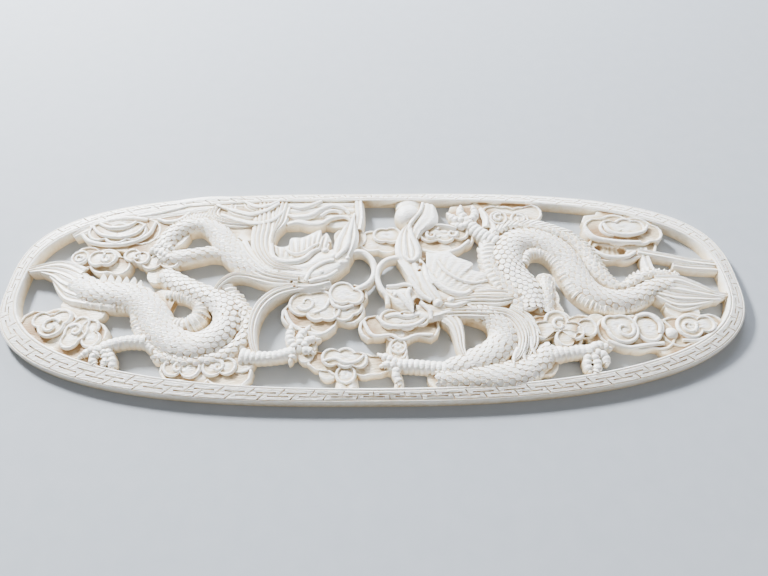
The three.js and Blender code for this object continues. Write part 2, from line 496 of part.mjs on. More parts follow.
// Low plates behind the figures, where the panel is not sawn through
function grounds() {
  return [
    [[-57, 13, 4.4], [-50, 13, 5.4], [-45, 14, 5.4], [-42, 18, 4]],
    [[-44.8, 2.6, 2.2], [-47, 4, 1.6]],
    [[-41, 19, 3.4], [-36, 20, 3.4], [-30, 19.5, 4.4], [-25, 19.5, 4]],
    [[-6.5, 12.4, 2], [-4, 12, 2.6]],
    [[18.8, 18.8, 2.4], [24, 18, 4], [30, 18, 3.8], [34, 19, 2.8]],
    [[12.4, 9.4, 2.6], [14.6, 8, 2.4]],
    [[21, -5, 2.8], [27, -5.4, 3.6], [31, -8, 4]],
    [[-42, -12, 3], [-39, -11.8, 3], [-42.4, -4, 3]],
    [[-60.6, -4.6, 1.9], [-57, -5.8, 2.2], [-54.6, -6.6, 1.6]],
    [[-24.6, -17, 2.6], [-26, -13, 3]],
    [[35.4, 0.4, 2.2], [34.6, -3.4, 3], [36, -6.6, 2]],
    [[44, -9.4, 2.2], [43.4, -12, 2.4]],
    [[60.4, -6, 2.2], [63, -6.8, 1.8]],
    [[57, -14, 2.8], [61, -13.4, 3], [65, -11.6, 2.8]],
    [[34, -17.6, 2.8], [31, -18.4, 2.4]],
    [[12.6, -20.6, 2.4]],
    [[-8.2, -19.4, 1.8]],
    [[-14.6, -12.6, 2.2], [-13, -14, 2.4], [-12.6, -16, 1.6]],
    [[8, 11.5, 2.6], [10, 8, 2.2]],
    [[-26, 7, 3], [-23, 9.5, 2.4], [-22.5, 5, 3]],
    [[25.4, 12.6, 3]],
    [[47.4, 16.4, 2], [52, 17.4, 3], [58, 15.6, 3]],
    [[-52.4, -16, 2.9], [-51.4, -18.2, 2.2]],
  ].map((lobes) => terrace(groundHeight, lobes, { sectors: 10, plain: true }));
}

// Bars, stems and wavy banks that tie the carving to the border, and the pearl with its flames
function ties() {
  return [
    strand([[-22, 19, 2.3, 3.8], [-15, 19.5, 2.3, 3.9], [-9, 19.7, 2.3, 3.9], [-4.2, 20, 2.3, 3]]),
    strand([[-19.4, 16, 2.8, 0.8], [-12.6, 16.4, 2.9, 0.8], [-8, 17.6, 2.9, 0.7], [-5.2, 17.6, 2.7, 0.5]]),
    strand([[-18.6, 19, 2.8, 0.8], [-12.6, 19.8, 2.9, 0.8], [-9.6, 21, 2.8, 0.6], [-5.6, 19.8, 2.7, 0.5]]),
    strand([[-3.4, 14.5, 2.8, 1.2], [-3.2, 18, 2.8, 1.2], [-3.4, 22.6, 2.5, 1.2]]),
    strand([[-64, 13.6, 2.4, 1], [-57, 17, 2.5, 2], [-46, 20, 2.5, 2.6], [-34, 21.6, 2.5, 2.4]]),
    strand([[-5, -17.6, 2.2, 2.3], [-4.8, -20, 2.1, 2], [-4.6, -23.6, 2.1, 2.4]]),
    strand([[5.2, -10, 2.3, 2.2], [4.7, -13, 2.2, 1.7], [4.5, -16, 2.3, 1.9], [4.3, -18.4, 2.3, 1.4]]),
    strand([[3.6, -18, 2.2, 0.8], [4.4, -20.5, 2.1, 0.7], [4.6, -23.6, 2.1, 1]]),
    strand([[56, 8.2, 2.4, 1], [62, 6.8, 2.4, 1], [66, 5.7, 2.4, 1], [72, 4.8, 2.4, 1.1]]),
    strand([[57.4, 9, 2.2, 1.2], [57.4, 5.6, 2.2, 1.1], [57.6, 1.8, 2.4, 1.2]]),
    dome(7.7, 19.2, 3, 3.9, 18),
    strand([[8.4, 20, 2.4, 1.8], [8.4, 23.6, 2.4, 1.8]]),
    strand([[8, 16, 2.5, 1.6], [8.2, 12.6, 2.5, 1.8]]),
    strand([[9.6, 13.8, 3.1, 1.3], [11, 15.8, 3.2, 1.8], [12.2, 17.6, 3.2, 1.9], [12.6, 19.6, 3, 1.6],
      [12.6, 21.8, 2.7, 1.1]]),
    strand([[-59.6, 12.8, 2.8, 0.7], [-56.6, 11.2, 2.9, 0.7], [-52.4, 11.4, 3, 0.8],
      [-49.4, 13, 2.9, 0.7], [-48.8, 15.6, 2.8, 0.5]]),
  ];
}

const pieces = [
  border(),
  ...leftDragonBody(),
  ...leftDragonTail(),
  ...leftDragonMane(),
  ...leftDragonHead(),
  ...leftDragonClaws(),
  ...rightDragonBody(),
  ...rightDragonTail(),
  ...rightDragonMane(),
  ...rightDragonHead(),
  ...rightDragonClaws(),
  ...clouds(),
  ...grounds(),
  ...ties(),
];

function meshFrom(manifold, name) {
  const { vertProperties, triVerts } = manifold.getMesh();
  const geometry = new THREE.BufferGeometry();
  geometry.setAttribute('position', new THREE.BufferAttribute(vertProperties, 3));
  geometry.setIndex(new THREE.BufferAttribute(triVerts, 1));
  geometry.computeVertexNormals();
  const mesh = new THREE.Mesh(geometry, new THREE.MeshStandardMaterial(ivory));
  mesh.name = name;
  return mesh;
}

// Joined into one solid, with the seams that the join leaves across flat faces taken out
const joined = wasm.Manifold.union(pieces).asOriginal().simplify(seamTolerance);

const panel = new THREE.Group();
panel.add(meshFrom(joined, 'carved_panel'));

export default panel;
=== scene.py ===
import math

import bmesh
import bpy
import numpy as np
from mathutils import Matrix, Vector


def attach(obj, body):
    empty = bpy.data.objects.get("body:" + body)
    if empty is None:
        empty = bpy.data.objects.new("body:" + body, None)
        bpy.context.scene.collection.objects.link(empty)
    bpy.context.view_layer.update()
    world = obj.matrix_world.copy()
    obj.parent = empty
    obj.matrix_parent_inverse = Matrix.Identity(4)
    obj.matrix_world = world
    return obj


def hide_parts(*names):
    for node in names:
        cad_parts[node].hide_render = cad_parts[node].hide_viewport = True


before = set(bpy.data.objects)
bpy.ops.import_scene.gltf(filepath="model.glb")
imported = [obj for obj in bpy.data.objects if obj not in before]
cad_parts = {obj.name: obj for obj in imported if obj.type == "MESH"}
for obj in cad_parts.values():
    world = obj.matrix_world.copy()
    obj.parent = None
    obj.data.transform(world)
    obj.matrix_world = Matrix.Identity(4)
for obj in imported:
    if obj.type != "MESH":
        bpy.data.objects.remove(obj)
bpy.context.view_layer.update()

mm = 0.001

# The panel is sawn and carved from one plate, so every form below is joined into one mesh.
# Places and heights are in millimetres, laid out on the opening inside the border.

sight = {
    "slope": 0.66,      # the layout was set out at the border's height, seen from the lower side,
    "height": 2.6,      # so a form that stands higher lies a little nearer to that side
}

carvingTop = 3.94       # nothing stands higher than this
parts = []              # every closed form that goes into the carving
bedPoints = []          # where the small shapes go: (kind, place, along, outward, size)


def place(x, y, top):
    return x, y - sight["slope"] * (top - sight["height"])


def closedForm(name, points, faces):
    mesh = bpy.data.meshes.new(name)
    mesh.from_pydata(points, [], faces)
    work = bmesh.new()
    work.from_mesh(mesh)
    bmesh.ops.triangulate(work, faces=work.faces[:])
    bmesh.ops.recalc_face_normals(work, faces=work.faces[:])
    work.to_mesh(mesh)
    work.free()
    return bpy.data.objects.new(name, mesh)


def addPart(name, points, faces):
    parts.append(closedForm(name, points, faces))


# Rings of points, one after another, each of the same size

def ringFaces(ringCount, size, closed):
    faces = []
    for i in range(ringCount if closed else ringCount - 1):
        here = i * size
        there = (i + 1) % ringCount * size
        for k in range(size):
            side = (k + 1) % size
            faces.append((here + k, there + k, there + side, here + side))
    return faces


def endedRings(rings, size):
    last = (rings - 1) * size
    return ringFaces(rings, size, False) + [tuple(range(size)), tuple(range(last, last + size))]


# Columns of points round a middle, with the middles of the foot and of the top as the last two

def moundFaces(sectors, size):
    foot = sectors * size
    faces = []
    for i in range(sectors):
        here = i * size
        there = (i + 1) % sectors * size
        faces.append((foot, there, here))
        faces.append((foot + 1, here + size - 1, there + size - 1))
        for k in range(size - 1):
            faces.append((here + k, there + k, there + k + 1, here + k + 1))
    return faces


# Paths: rows of [x, y, top, half width], smoothed and then walked at an even spacing

pathSizes = {
    "detail": 24,           # points of the smoothed curve for each row
    "riseOfHeight": 0.6,    # the round part of a form takes up this much of its height,
    "riseOfWidth": 0.9,     # or this much of its half width, whichever is less
}


def smoothRow(rows, at):
    index = min(int(at), len(rows) - 2)
    t = at - index
    before = rows[max(index - 1, 0)]
    here = rows[index]
    ahead = rows[index + 1]
    after = rows[min(index + 2, len(rows) - 1)]
    b = ahead - before
    c = 2 * before - 5 * here + 4 * ahead - after
    d = 3 * here - before - 3 * ahead + after
    return (2 * here + b * t + c * t * t + d * t ** 3) / 2


def distancesAlong(line):
    return np.concatenate([[0], np.cumsum(np.hypot(*np.diff(line, axis=0).T))])


def walkPath(rows, spacing):
    placed = np.array([[*place(row[0], row[1], row[2]), row[2], row[3]] for row in rows], float)
    stops = np.linspace(0, len(rows) - 1, pathSizes["detail"] * len(rows))
    fine = np.array([smoothRow(placed, at) for at in stops])
    travelled = distancesAlong(fine[:, :2])
    count = max(2, int(round(travelled[-1] / spacing)) + 1)
    stops = np.linspace(0, travelled[-1], count)
    walked = np.stack([np.interp(stops, travelled, fine[:, k]) for k in range(4)], 1)
    along = np.gradient(walked[:, :2], axis=0)
    along /= np.linalg.norm(along, axis=1)[:, None]
    return walked, along, stops


def riseOf(top, half, foot):
    return min((top - foot) * pathSizes["riseOfHeight"], half * pathSizes["riseOfWidth"])


limbSizes = {
    "bodyStep": 1.1, "bodySides": 10,
    "strandStep": 0.6, "strandSides": 10,
    "legStep": 0.26, "whiskerStep": 0.5, "thinSides": 8,
    "hairDepth": 0.17,              # how deep the hair lines are cut
    "fullHair": 0.8,                # the half width from which they have their full depth
    "foldPitch": 1.04,              # the rings of folds round a leg
    "foldHeight": 0.2,
    "foldWiden": 0.7,
    "undercut": 0.8,                # legs and whiskers stand clear of the back
}


def limb(rows, sides=None, step=None, foot=0.0, hairs=0, folds=False, name="limb"):
    sides = max(sides or limbSizes["bodySides"], 4 * hairs)
    walked, along, stops = walkPath(rows, step or limbSizes["bodyStep"])
    points = []
    for i, (x, y, top, half) in enumerate(walked):
        if folds:
            swell = abs(math.sin(math.pi * stops[i] / limbSizes["foldPitch"])) * limbSizes["foldHeight"]
            top += swell
            half += swell * limbSizes["foldWiden"]
        rise = riseOf(top, half, foot)
        for k in range(sides + 1):
            turn = math.pi * k / sides
            hair = limbSizes["hairDepth"] * math.cos(2 * hairs * turn) if hairs else 0
            hair *= min(1, half / limbSizes["fullHair"]) * math.sin(turn)
            reach = half * math.cos(turn)
            height = min(top - rise + rise * math.sin(turn) + hair, carvingTop)
            points.append((x - along[i][1] * reach, y + along[i][0] * reach, height))
        points.append((x + along[i][1] * half, y - along[i][0] * half, foot))
        points.append((x - along[i][1] * half, y + along[i][0] * half, foot))
    addPart(name, points, endedRings(len(walked), sides + 3))


def strand(rows, hairs=3):
    limb(rows, limbSizes["strandSides"], limbSizes["strandStep"], hairs=hairs, name="strand")


def stroke(rows):
    # a smooth ridge, such as a rim, a lip or a line on a cloud
    strand(rows, hairs=0)


def leg(rows):
    s = limbSizes
    limb(rows, s["thinSides"], s["legStep"], s["undercut"], folds=True, name="leg")


def whisker(rows):
    s = limbSizes
    limb(rows, s["thinSides"], s["whiskerStep"], s["undercut"], name="whisker")


# A folded sheet between two edges, as on a fin, a flame or a bank of water

sheetSizes = {
    "step": 0.6, "across": 0.55, "leastAcross": 6,
    "detail": 20,           # points of the smoothed edges for each station
    "lineDepth": 0.17,
    "pointsPerLine": 4,     # and for each rib
    "crown": 0.5,           # how far the edges lie below the middle,
    "crownCurve": 2.5,
    "endDrop": 0.4,         # and the two ends, as a share of that
    "fade": 3,              # lines and ends fade over one part in three
}


def lengthOf(line):
    return np.hypot(*np.diff(line, axis=0).T).sum()


def sheet(stations, lines=0, ribs=0.0, depth=None, crown=None):
    # stations of [xA, yA, xB, yB, top], a number of lines that run along it, and the pitch of ribs
    # that cross it
    s = sheetSizes
    depth = s["lineDepth"] if depth is None else depth
    crown = s["crown"] if crown is None else crown
    placed = np.array([[*place(xa, ya, top), *place(xb, yb, top), top] for xa, ya, xb, yb, top in stations])
    stops = np.linspace(0, len(stations) - 1, s["detail"] * len(stations))
    fine = np.array([smoothRow(placed, at) for at in stops])
    travelled = distancesAlong((fine[:, :2] + fine[:, 2:4]) / 2)
    edge = max(lengthOf(fine[:, :2]), lengthOf(fine[:, 2:4]))
    step = min(s["step"], ribs / s["pointsPerLine"]) if ribs else s["step"]
    count = max(3, int(edge / step) + 1)
    stops = np.linspace(0, travelled[-1], count)
    walked = np.stack([np.interp(stops, travelled, fine[:, k]) for k in range(5)], 1)
    width = np.hypot(*(fine[:, 2:4] - fine[:, :2]).T).max()
    across = max(s["leastAcross"], s["pointsPerLine"] * lines, int(width / s["across"]))
    points = []
    for i, (xa, ya, xb, yb, top) in enumerate(walked):
        end = min(1, s["fade"] * i / (count - 1), s["fade"] * (count - 1 - i) / (count - 1))
        for k in range(across + 1):
            share = k / across
            side = 1 - abs(2 * share - 1)
            wave = -math.cos(2 * math.pi * lines * share) if lines else 0
            if ribs:
                wave += math.sin(2 * math.pi * i / (count - 1) * max(1, round(edge / ribs)))
            drop = crown * (1 - side) ** s["crownCurve"] + crown * s["endDrop"] * (1 - end) ** 2
            height = top - drop + depth * wave * min(1, s["fade"] * side)
            points.append((xa + (xb - xa) * share, ya + (yb - ya) * share, min(height, carvingTop)))
        points += [(xb, yb, 0), (xa, ya, 0)]
    addPart("sheet", points, endedRings(count, across + 3))


# Hollows are only points here: they are drilled or scooped out at the end

def hollow(x, y, bottom, radius):
    # each reaches 1 mm below its middle, which lies a radius above the height given
    spot = Vector((*place(x, y, bottom), bottom + radius))
    bedPoints.append(("hollow", spot, Vector((1, 0, 0)), Vector((0, 0, 1)), radius))


# Scales, spines and belly ribs are points too: the node tree sets a shape on each one

scaleSizes = {
    "pitchAlong": 1.02, "pitchAcross": 1.18,
    "detail": 60,                       # points of the round of the body, for an even spacing
    "from": 0.13, "to": 0.87,           # the part of the round of the body that has scales
    "least": 0.55, "growth": 6,         # a scale's size grows by one in this much half width, up to 1
}


def scaleBed(rows):
    walked, along, _ = walkPath(rows, scaleSizes["pitchAlong"])
    for i, (x, y, top, half) in enumerate(walked):
        rise = riseOf(top, half, 0)
        turns = np.linspace(0, math.pi, scaleSizes["detail"])
        travelled = distancesAlong(np.stack([half * np.cos(turns), rise * np.sin(turns)], 1))
        total = travelled[-1]
        count = max(2, int(total / scaleSizes["pitchAcross"]))
        for k in range(count + 1):
            at = (k + 0.5 * (i % 2)) / count
            if not scaleSizes["from"] < at < scaleSizes["to"]:
                continue
            turn = float(np.interp(at * total, travelled, turns))
            side = Vector((-along[i][1], along[i][0], 0))
            forward = Vector((along[i][0], along[i][1], 0))
            spot = Vector((x, y, top - rise + rise * math.sin(turn))) + side * half * math.cos(turn)
            out = side * math.cos(turn) / half + Vector((0, 0, math.sin(turn) / rise))
            size = min(1.0, scaleSizes["least"] + half / scaleSizes["growth"])
            bedPoints.append(("scale", spot, forward, out.normalized(), size))


def scaledLimb(rows, sides=None):
    limb(rows, sides)
    scaleBed(rows)


def spineRow(line, spacing, length, top=2.7, lean=0.36):
    # the lean is a share of a half turn away from the row
    rows = [[x, y, sight["height"], 1] for x, y in line]
    walked, along, _ = walkPath(rows, spacing)
    for i in range(len(walked)):
        angle = math.atan2(along[i][1], along[i][0]) + math.pi * lean
        forward = Vector((math.cos(angle), math.sin(angle), 0))
        spot = Vector((walked[i][0], walked[i][1], top))
        bedPoints.append(("spine", spot, forward, Vector((0, 0, 1)), length))


def ribRow(rows, spacing=0.8, start=0.0):
    # the row is left plain up to the start, a share of its length
    walked, along, _ = walkPath(rows, spacing)
    for i, (x, y, top, half) in enumerate(walked):
        if i / (len(walked) - 1) < start:
            continue
        forward = Vector((along[i][0], along[i][1], 0))
        rise = riseOf(top, half, 0)
        bedPoints.append(("rib", Vector((x, y, top - rise)), forward, Vector((0, 0, 1)), half))


# Clouds: terraces with an outline of round lobes

cloudSizes = {
    "sectors": 44, "lowSectors": 34, "groundSectors": 28,
    "leastReach": 0.3,
    "fullReach": 2.4,       # a smaller lobe has a narrower rim
    "plainEdge": 0.15,
    # how far in from the edge, and how far below the top: wall, rounded rim, groove, swell
    "profile": [(0, 0.42), (0.1, 0.16), (0.28, 0.02), (0.5, 0.04), (0.74, 0.3), (1.05, 0.34)],
    "middle": [(0.55, 0.14), (0.28, 0.2)],
    "centreDrop": 0.32,
}


def reachOf(lobes, middle, angle):
    dx = math.cos(angle)
    dy = math.sin(angle)
    reach = cloudSizes["leastReach"]
    for x, y, radius in lobes:
        forward = (x - middle[0]) * dx + (y - middle[1]) * dy
        aside = (x - middle[0]) * dy - (y - middle[1]) * dx
        if abs(aside) < radius:
            reach = max(reach, forward + math.sqrt(radius * radius - aside * aside))
    return reach


def terrace(top, lobes, sectors=None, plain=False, name="cloud"):
    s = cloudSizes
    sectors = sectors or s["sectors"]
    middle = [sum(lobe[k] for lobe in lobes) / len(lobes) for k in (0, 1)]
    points = []
    for i in range(sectors):
        angle = 2 * math.pi * i / sectors
        reach = reachOf(lobes, middle, angle)
        levels = [(reach, 0)]
        if plain:
            levels += [(reach, top - s["plainEdge"]), (reach - s["plainEdge"], top)]
        else:
            shrink = min(1, reach / s["fullReach"])
            levels += [(reach - inset * shrink, top - drop) for inset, drop in s["profile"]]
            inner = reach - s["profile"][-1][0] * shrink
            levels += [(inner * share, top - drop) for share, drop in s["middle"]]
        for distance, height in levels:
            x, y = place(middle[0] + distance * math.cos(angle), middle[1] + distance * math.sin(angle), top)
            points.append((x, y, height))
    x, y = place(*middle, top)
    points.append((x, y, 0))
    points.append((x, y, top - (0 if plain else s["centreDrop"])))
    addPart(name, points, moundFaces(sectors, len(levels)))


def lowTerrace(top, lobes, name="cloudFoot"):
    terrace(top, lobes, cloudSizes["lowSectors"], name=name)


def groundPlate(top, lobes, name="ground"):
    terrace(top, lobes, cloudSizes["groundSectors"], plain=True, name=name)


scrollSizes = {
    "points": 12, "turns": 0.95,
    "half": 0.4, "sink": 0.08,          # half the width of the line, and how far it lies below the top given
    "wind": 0.72, "thinning": 0.3,      # how much its reach and its width lose on the way in
}


def scroll(x, y, radius, top, start, way):
    s = scrollSizes
    rows = []
    for i in range(s["points"] + 1):
        share = i / s["points"]
        angle = start + way * 2 * math.pi * s["turns"] * share
        reach = radius * (1 - s["wind"] * share)
        rows.append([x + reach * math.cos(angle), y + reach * math.sin(angle), top - s["sink"],
                     s["half"] * (1 - s["thinning"] * share)])
    stroke(rows)


domeTurns = [0, 0.2, 0.4, 0.58, 0.74, 0.88]     # of a quarter turn, from the rim up


def dome(x, y, radius, top, sectors):
    cx, cy = place(x, y, top)
    rise = min(radius, top * pathSizes["riseOfHeight"])
    levels = [(radius, 0)]
    for turn in domeTurns:
        angle = turn * math.pi / 2
        levels.append((radius * math.cos(angle), top - rise + rise * math.sin(angle)))
    points = []
    for i in range(sectors):
        angle = 2 * math.pi * i / sectors
        points += [(cx + reach * math.cos(angle), cy + reach * math.sin(angle), z) for reach, z in levels]
    points += [(cx, cy, 0), (cx, cy, top)]
    addPart("dome", points, moundFaces(sectors, len(levels)))


# The border

borderSizes = {
    "halfLength": 75, "halfHeight": 25.25, "atEnds": 3.5, "atSides": 2.7,
    "thickness": 2.6, "edgeHeight": 1.5, "bead": 0.6, "beadDrop": 0.3, "groove": 0.2,
    "beadRound": 0.08, "shelf": 0.06,           # how far the bead's sides and the band's rim lie lower
    "bandFrom": 1.25, "bandTo": 1.3,            # where the sloping band starts and ends, in bead widths
    "outerRoundness": [3.2, 3.15, 2.7, 2.5], "innerRoundness": [2.9, 2.9, 2.45, 2.4],
    "steps": 280,
    "fretPitch": 2.85, "fretBar": 3.7, "fretWidth": 0.26, "fretDepth": 0.22,
    "fretDetail": 1440,                         # points round the band
    "fretStems": [(-0.02, 0.66), (1.02, 0.34)], # from the edge to the bar, in turn from either side
    "fretPieces": 3, "fretOverlap": 1.12,       # a bar bends with the band, so it is cut in pieces
}


def oval(angle, length, height, roundness):
    c = math.cos(angle)
    s = math.sin(angle)
    power = 2 / roundness
    return Vector((length * math.copysign(abs(c) ** power, c), height * math.copysign(abs(s) ** power, s)))


def borderEdges(angle):
    quarter = min(3, int(angle / (math.pi / 2)))
    s = borderSizes
    outer = oval(angle, s["halfLength"], s["halfHeight"], s["outerRoundness"][quarter])
    inner = oval(angle, s["halfLength"] - s["atEnds"], s["halfHeight"] - s["atSides"],
                 s["innerRoundness"][quarter])
    return outer, inner


def makeBorder():
    s = borderSizes
    bead = s["bead"]
    top = s["thickness"]
    edge = s["edgeHeight"]
    # from which edge, how far in from it, and the height
    profile = [
        (1, 0, 0), (1, 0, top - s["beadDrop"]), (1, -bead * 0.15, top - s["beadRound"]),
        (1, -bead * 0.5, top), (1, -bead * 0.85, top - s["beadRound"]), (1, -bead, top - s["groove"]),
        (1, -bead * s["bandTo"], top - s["shelf"]),
        (0, bead * s["bandFrom"], edge + s["beadDrop"] + s["groove"]), (0, bead, edge + s["beadDrop"] - 0.02),
        (0, bead * 0.75, edge + s["beadDrop"] + 0.1), (0, bead * 0.35, edge + s["beadDrop"]),
        (0, 0.02, edge), (0, 0, edge - 0.15), (0, 0, 0),
    ]
    points = []
    for i in range(s["steps"]):
        outer, inner = borderEdges(2 * math.pi * i / s["steps"])
        width = (outer - inner).length
        for start, step, height in profile:
            spot = outer.lerp(inner, start + step / width)
            points.append((spot.x, spot.y, height))
    addPart("border", points, ringFaces(s["steps"], len(profile), True))


def cutFret():
    s = borderSizes
    angles = np.linspace(0, 2 * math.pi, s["fretDetail"] + 1)[:-1]
    edges = [borderEdges(angle) for angle in angles]
    lane = []
    for outer, inner in edges:
        width = (outer - inner).length
        lane.append((outer.lerp(inner, s["bead"] * s["bandFrom"] / width),
                     outer.lerp(inner, 1 - s["bead"] * s["bandTo"] / width)))
    middles = np.array([((a + b) / 2)[:] for a, b in lane])
    steps = np.hypot(*(np.roll(middles, -1, 0) - middles).T)
    travelled = np.concatenate([[0], np.cumsum(steps)])
    count = 2 * int(travelled[-1] / s["fretPitch"] / 2)
    pitch = travelled[-1] / count
    low = s["edgeHeight"] + s["beadDrop"] + s["groove"]
    high = s["thickness"] - s["shelf"]

    def spot(distance, share):
        at = np.interp(distance % travelled[-1], travelled, np.arange(len(travelled))) % len(lane)
        first = int(at)
        second = (first + 1) % len(lane)
        outer = lane[first][0].lerp(lane[second][0], at - first)
        inner = lane[first][1].lerp(lane[second][1], at - first)
        flat = outer.lerp(inner, share)
        return Vector((flat.x, flat.y, low + (high - low) * share))

    def cut(a, b):
        bedPoints.append(("fret", (a + b) / 2, (b - a).normalized(), Vector((0, 0, 1)), (b - a).length))

    for i in range(count):
        middle = i * pitch
        root, bar = s["fretStems"][i % 2]
        cut(spot(middle, root), spot(middle, bar))
        for k in range(s["fretPieces"]):
            start = middle + s["fretBar"] * (k / s["fretPieces"] - 0.5)
            end = middle + s["fretBar"] * ((k + s["fretOverlap"]) / s["fretPieces"] - 0.5)
            cut(spot(start, bar), spot(end, bar))


print("layout helpers ready")


# The dragon on the left

leftBody = [
    [[-60.5, 1.2, 3.2, 2.9], [-57, -0.7, 3.4, 3.1], [-52, -1.4, 3.5, 3.1],
     [-47.5, -2.3, 3.5, 3.2], [-43.8, -5.6, 3.5, 3.3], [-41, -10, 3.5, 3.4], [-37, -12.9, 3.6, 3.2]],
    [[-38.5, -12, 3.6, 3.1], [-35.2, -13.2, 3.6, 3.2], [-32, -12.6, 3.7, 3.2],
     [-29, -9.8, 3.7, 3.1], [-28.6, -6, 3.6, 3], [-31, -3, 3.4, 2.7], [-35, -1.2, 3.2, 2.4],
     [-39, 0.6, 3, 2.4], [-43, 3, 2.8, 2.2]],
    [[-44.5, 8, 2.9, 2.4], [-44.3, 12, 3.1, 2.5], [-41.5, 15.5, 3.2, 2.3],
     [-37.3, 16.5, 3.3, 2.1], [-33.5, 14.2, 3.4, 2.5], [-30.8, 10.4, 3.5, 3], [-28, 7.4, 3.5, 3],
     [-24.5, 4.6, 3.5, 2.8], [-20, 3.2, 3.4, 2.4]],
]
leftBelly = [[-60, -2.6, 2.6, 1], [-56.5, -4, 2.7, 1.1], [-52, -4.6, 2.7, 1.1], [-47.8, -5.2, 2.7, 1.1],
             [-46, -9, 2.7, 1.1], [-43.6, -12.6, 2.7, 1.1], [-40, -15, 2.7, 1.1]]
leftInnerCoil = [[-41.5, -2, 2.5, 1.2], [-37.5, -2.4, 2.6, 1.3], [-34.5, -4.4, 2.7, 1.6],
                 [-34.4, -7.2, 2.7, 1.9], [-37, -9, 2.7, 1.8], [-40.2, -8.4, 2.6, 1.5]]
leftOuterCoil = [[-41, -15.6, 2.8, 1.2], [-34.5, -16.8, 2.9, 1.4], [-28.5, -15.6, 2.9, 1.7],
                 [-24.9, -12, 2.9, 1.9], [-24.9, -7.5, 2.9, 1.4], [-28, -2.4, 2.8, 1]]
leftTail = [
    [[-59.6, 3.6, 3, 1.4], [-63, 5.3, 2.9, 1.2], [-66.5, 5.6, 2.7, 0.9], [-72, 4, 2.5, 0.7]],
    [[-59.5, 1.6, 3.3, 1.6], [-64, 3.6, 3, 1.2], [-67.5, 4.2, 2.8, 0.9], [-71, 3.8, 2.5, 0.6]],
    [[-59, -0.3, 3.2, 1.6], [-63, 1.4, 3, 1.3], [-65.5, 2.9, 2.8, 1], [-68.5, 3.6, 2.6, 0.5]],
    [[-58, -2, 3, 1.5], [-61.5, -0.8, 2.9, 1.3], [-64, 0.9, 2.7, 0.9], [-66.6, 2.6, 2.5, 0.3]],
    [[-57, -3.6, 2.8, 1.3], [-61, -2.8, 2.7, 1.1], [-63.4, -1, 2.5, 0.8], [-65.4, 1, 2.3, 0.2]],
]

leftForearm = [[-44.6, 7.2, 2.8, 1.7], [-41, 7.5, 2.9, 2.1], [-37.4, 8.2, 2.9, 1.9], [-34, 8.8, 2.9, 1.7],
               [-31, 8.2, 3, 1.6]]


def makeLeftDragon():
    for rows in leftBody + [leftForearm]:
        scaledLimb(rows)
    limb(leftBelly)
    ribRow(leftBelly, 0.9, 0.1)
    limb(leftInnerCoil)
    ribRow(leftInnerCoil)
    scaledLimb(leftOuterCoil, 12)
    for rows in leftTail:
        strand(rows)
    spineRow([[-55, 0.9], [-51, 0.5], [-47.4, -0.6]], 1.7, 2, 3, 0.6)
    spineRow([[-30, -0.2], [-27.6, -2.6], [-25, -6.3]], 1.2, 1.5)
    spineRow([[-43.6, 13.6], [-40.4, 16.8], [-36.5, 17.6], [-33, 16]], 0.62, 1.9, 2.9, 0.42)


# Locks of hair: each lock is a folded sheet that narrows to its tip

leftMane = [
    (5, [[-26.8, 23, -22.4, 23, 2.5], [-26.6, 20.6, -21.8, 20.4, 2.7], [-26.4, 18, -21.4, 17.4, 2.9],
         [-26.2, 15.2, -21.2, 14.6, 3.1], [-26.2, 12.4, -21.4, 12, 3.2], [-25.6, 9.4, -21.2, 9.6, 3.4],
         [-24, 6.6, -20.4, 7.4, 3.5], [-21.4, 4, -18.8, 6, 3.6], [-17.5, 3.2, -16.8, 5.4, 3.6],
         [-14.6, 2.6, -14.2, 4.6, 3.6]]),
    (4, [[-21.8, 22.4, -18, 22.4, 2.5], [-22, 19.6, -18.4, 19, 2.7], [-22, 17, -19, 16.2, 2.8],
         [-22, 14.6, -20.6, 13.8, 3], [-21.8, 12, -21.1, 11.8, 3], [-21.5, 10.2, -21.2, 10.1, 3]]),
    (4, [[-30.6, 9.4, -27, 12, 3.4], [-28.6, 6.4, -25.6, 9.4, 3.5], [-26, 3.8, -23.6, 6.8, 3.6],
         [-23, 1.9, -21.4, 4.4, 3.6], [-19.4, 1, -18.6, 3.4, 3.6], [-15.4, 0.5, -15, 2.9, 3.6]]),
    (3, [[-16, 0.2, -16, 1.8, 3.4], [-20, 0, -20, 2.2, 3.4], [-23.4, 0.8, -23.4, 3.1, 3.3],
         [-26, 1.7, -26.4, 3.5, 3.2], [-28.4, 1.8, -29, 3.3, 3.1], [-30, 0.6, -31.2, 1.7, 3.1],
         [-31.2, -1, -32.2, -0.4, 3.1], [-31.6, -2.4, -32, -2.2, 3]]),
    (3, [[-9.5, -1.2, -10, 0.9, 3.3], [-14.4, -1.3, -14.8, 0.6, 3.4], [-18.6, -2.6, -19.8, -0.6, 3.4],
         [-21.2, -5.2, -23, -3.7, 3.3], [-22.3, -8.8, -24.3, -8, 3.2], [-22.2, -12.4, -23.8, -12.2, 3.1],
         [-21.4, -15.6, -22.4, -15.8, 3]]),
    (4, [[-36.4, 22, -32.8, 22.4, 2.4], [-37, 19.4, -34, 19.8, 2.7], [-36.4, 17, -33.6, 18.6, 2.8],
         [-33.4, 15.6, -31.8, 17.9, 2.9], [-29.8, 15, -29.2, 17.5, 2.9], [-26, 15.2, -25.8, 17.2, 2.8]]),
    (3, [[-33.2, 22.4, -30, 22.4, 2.4], [-33, 20.2, -30.2, 20.6, 2.6], [-31.2, 18.4, -29.2, 20, 2.8],
         [-28.2, 17.6, -27.2, 19.4, 2.8], [-25.4, 17.4, -25, 19, 2.7]]),
    (3, [[-29.8, 22.8, -27, 22.8, 2.4], [-28.8, 20.4, -26.4, 21.2, 2.6], [-26.4, 19.4, -24.6, 20.4, 2.6]]),
]

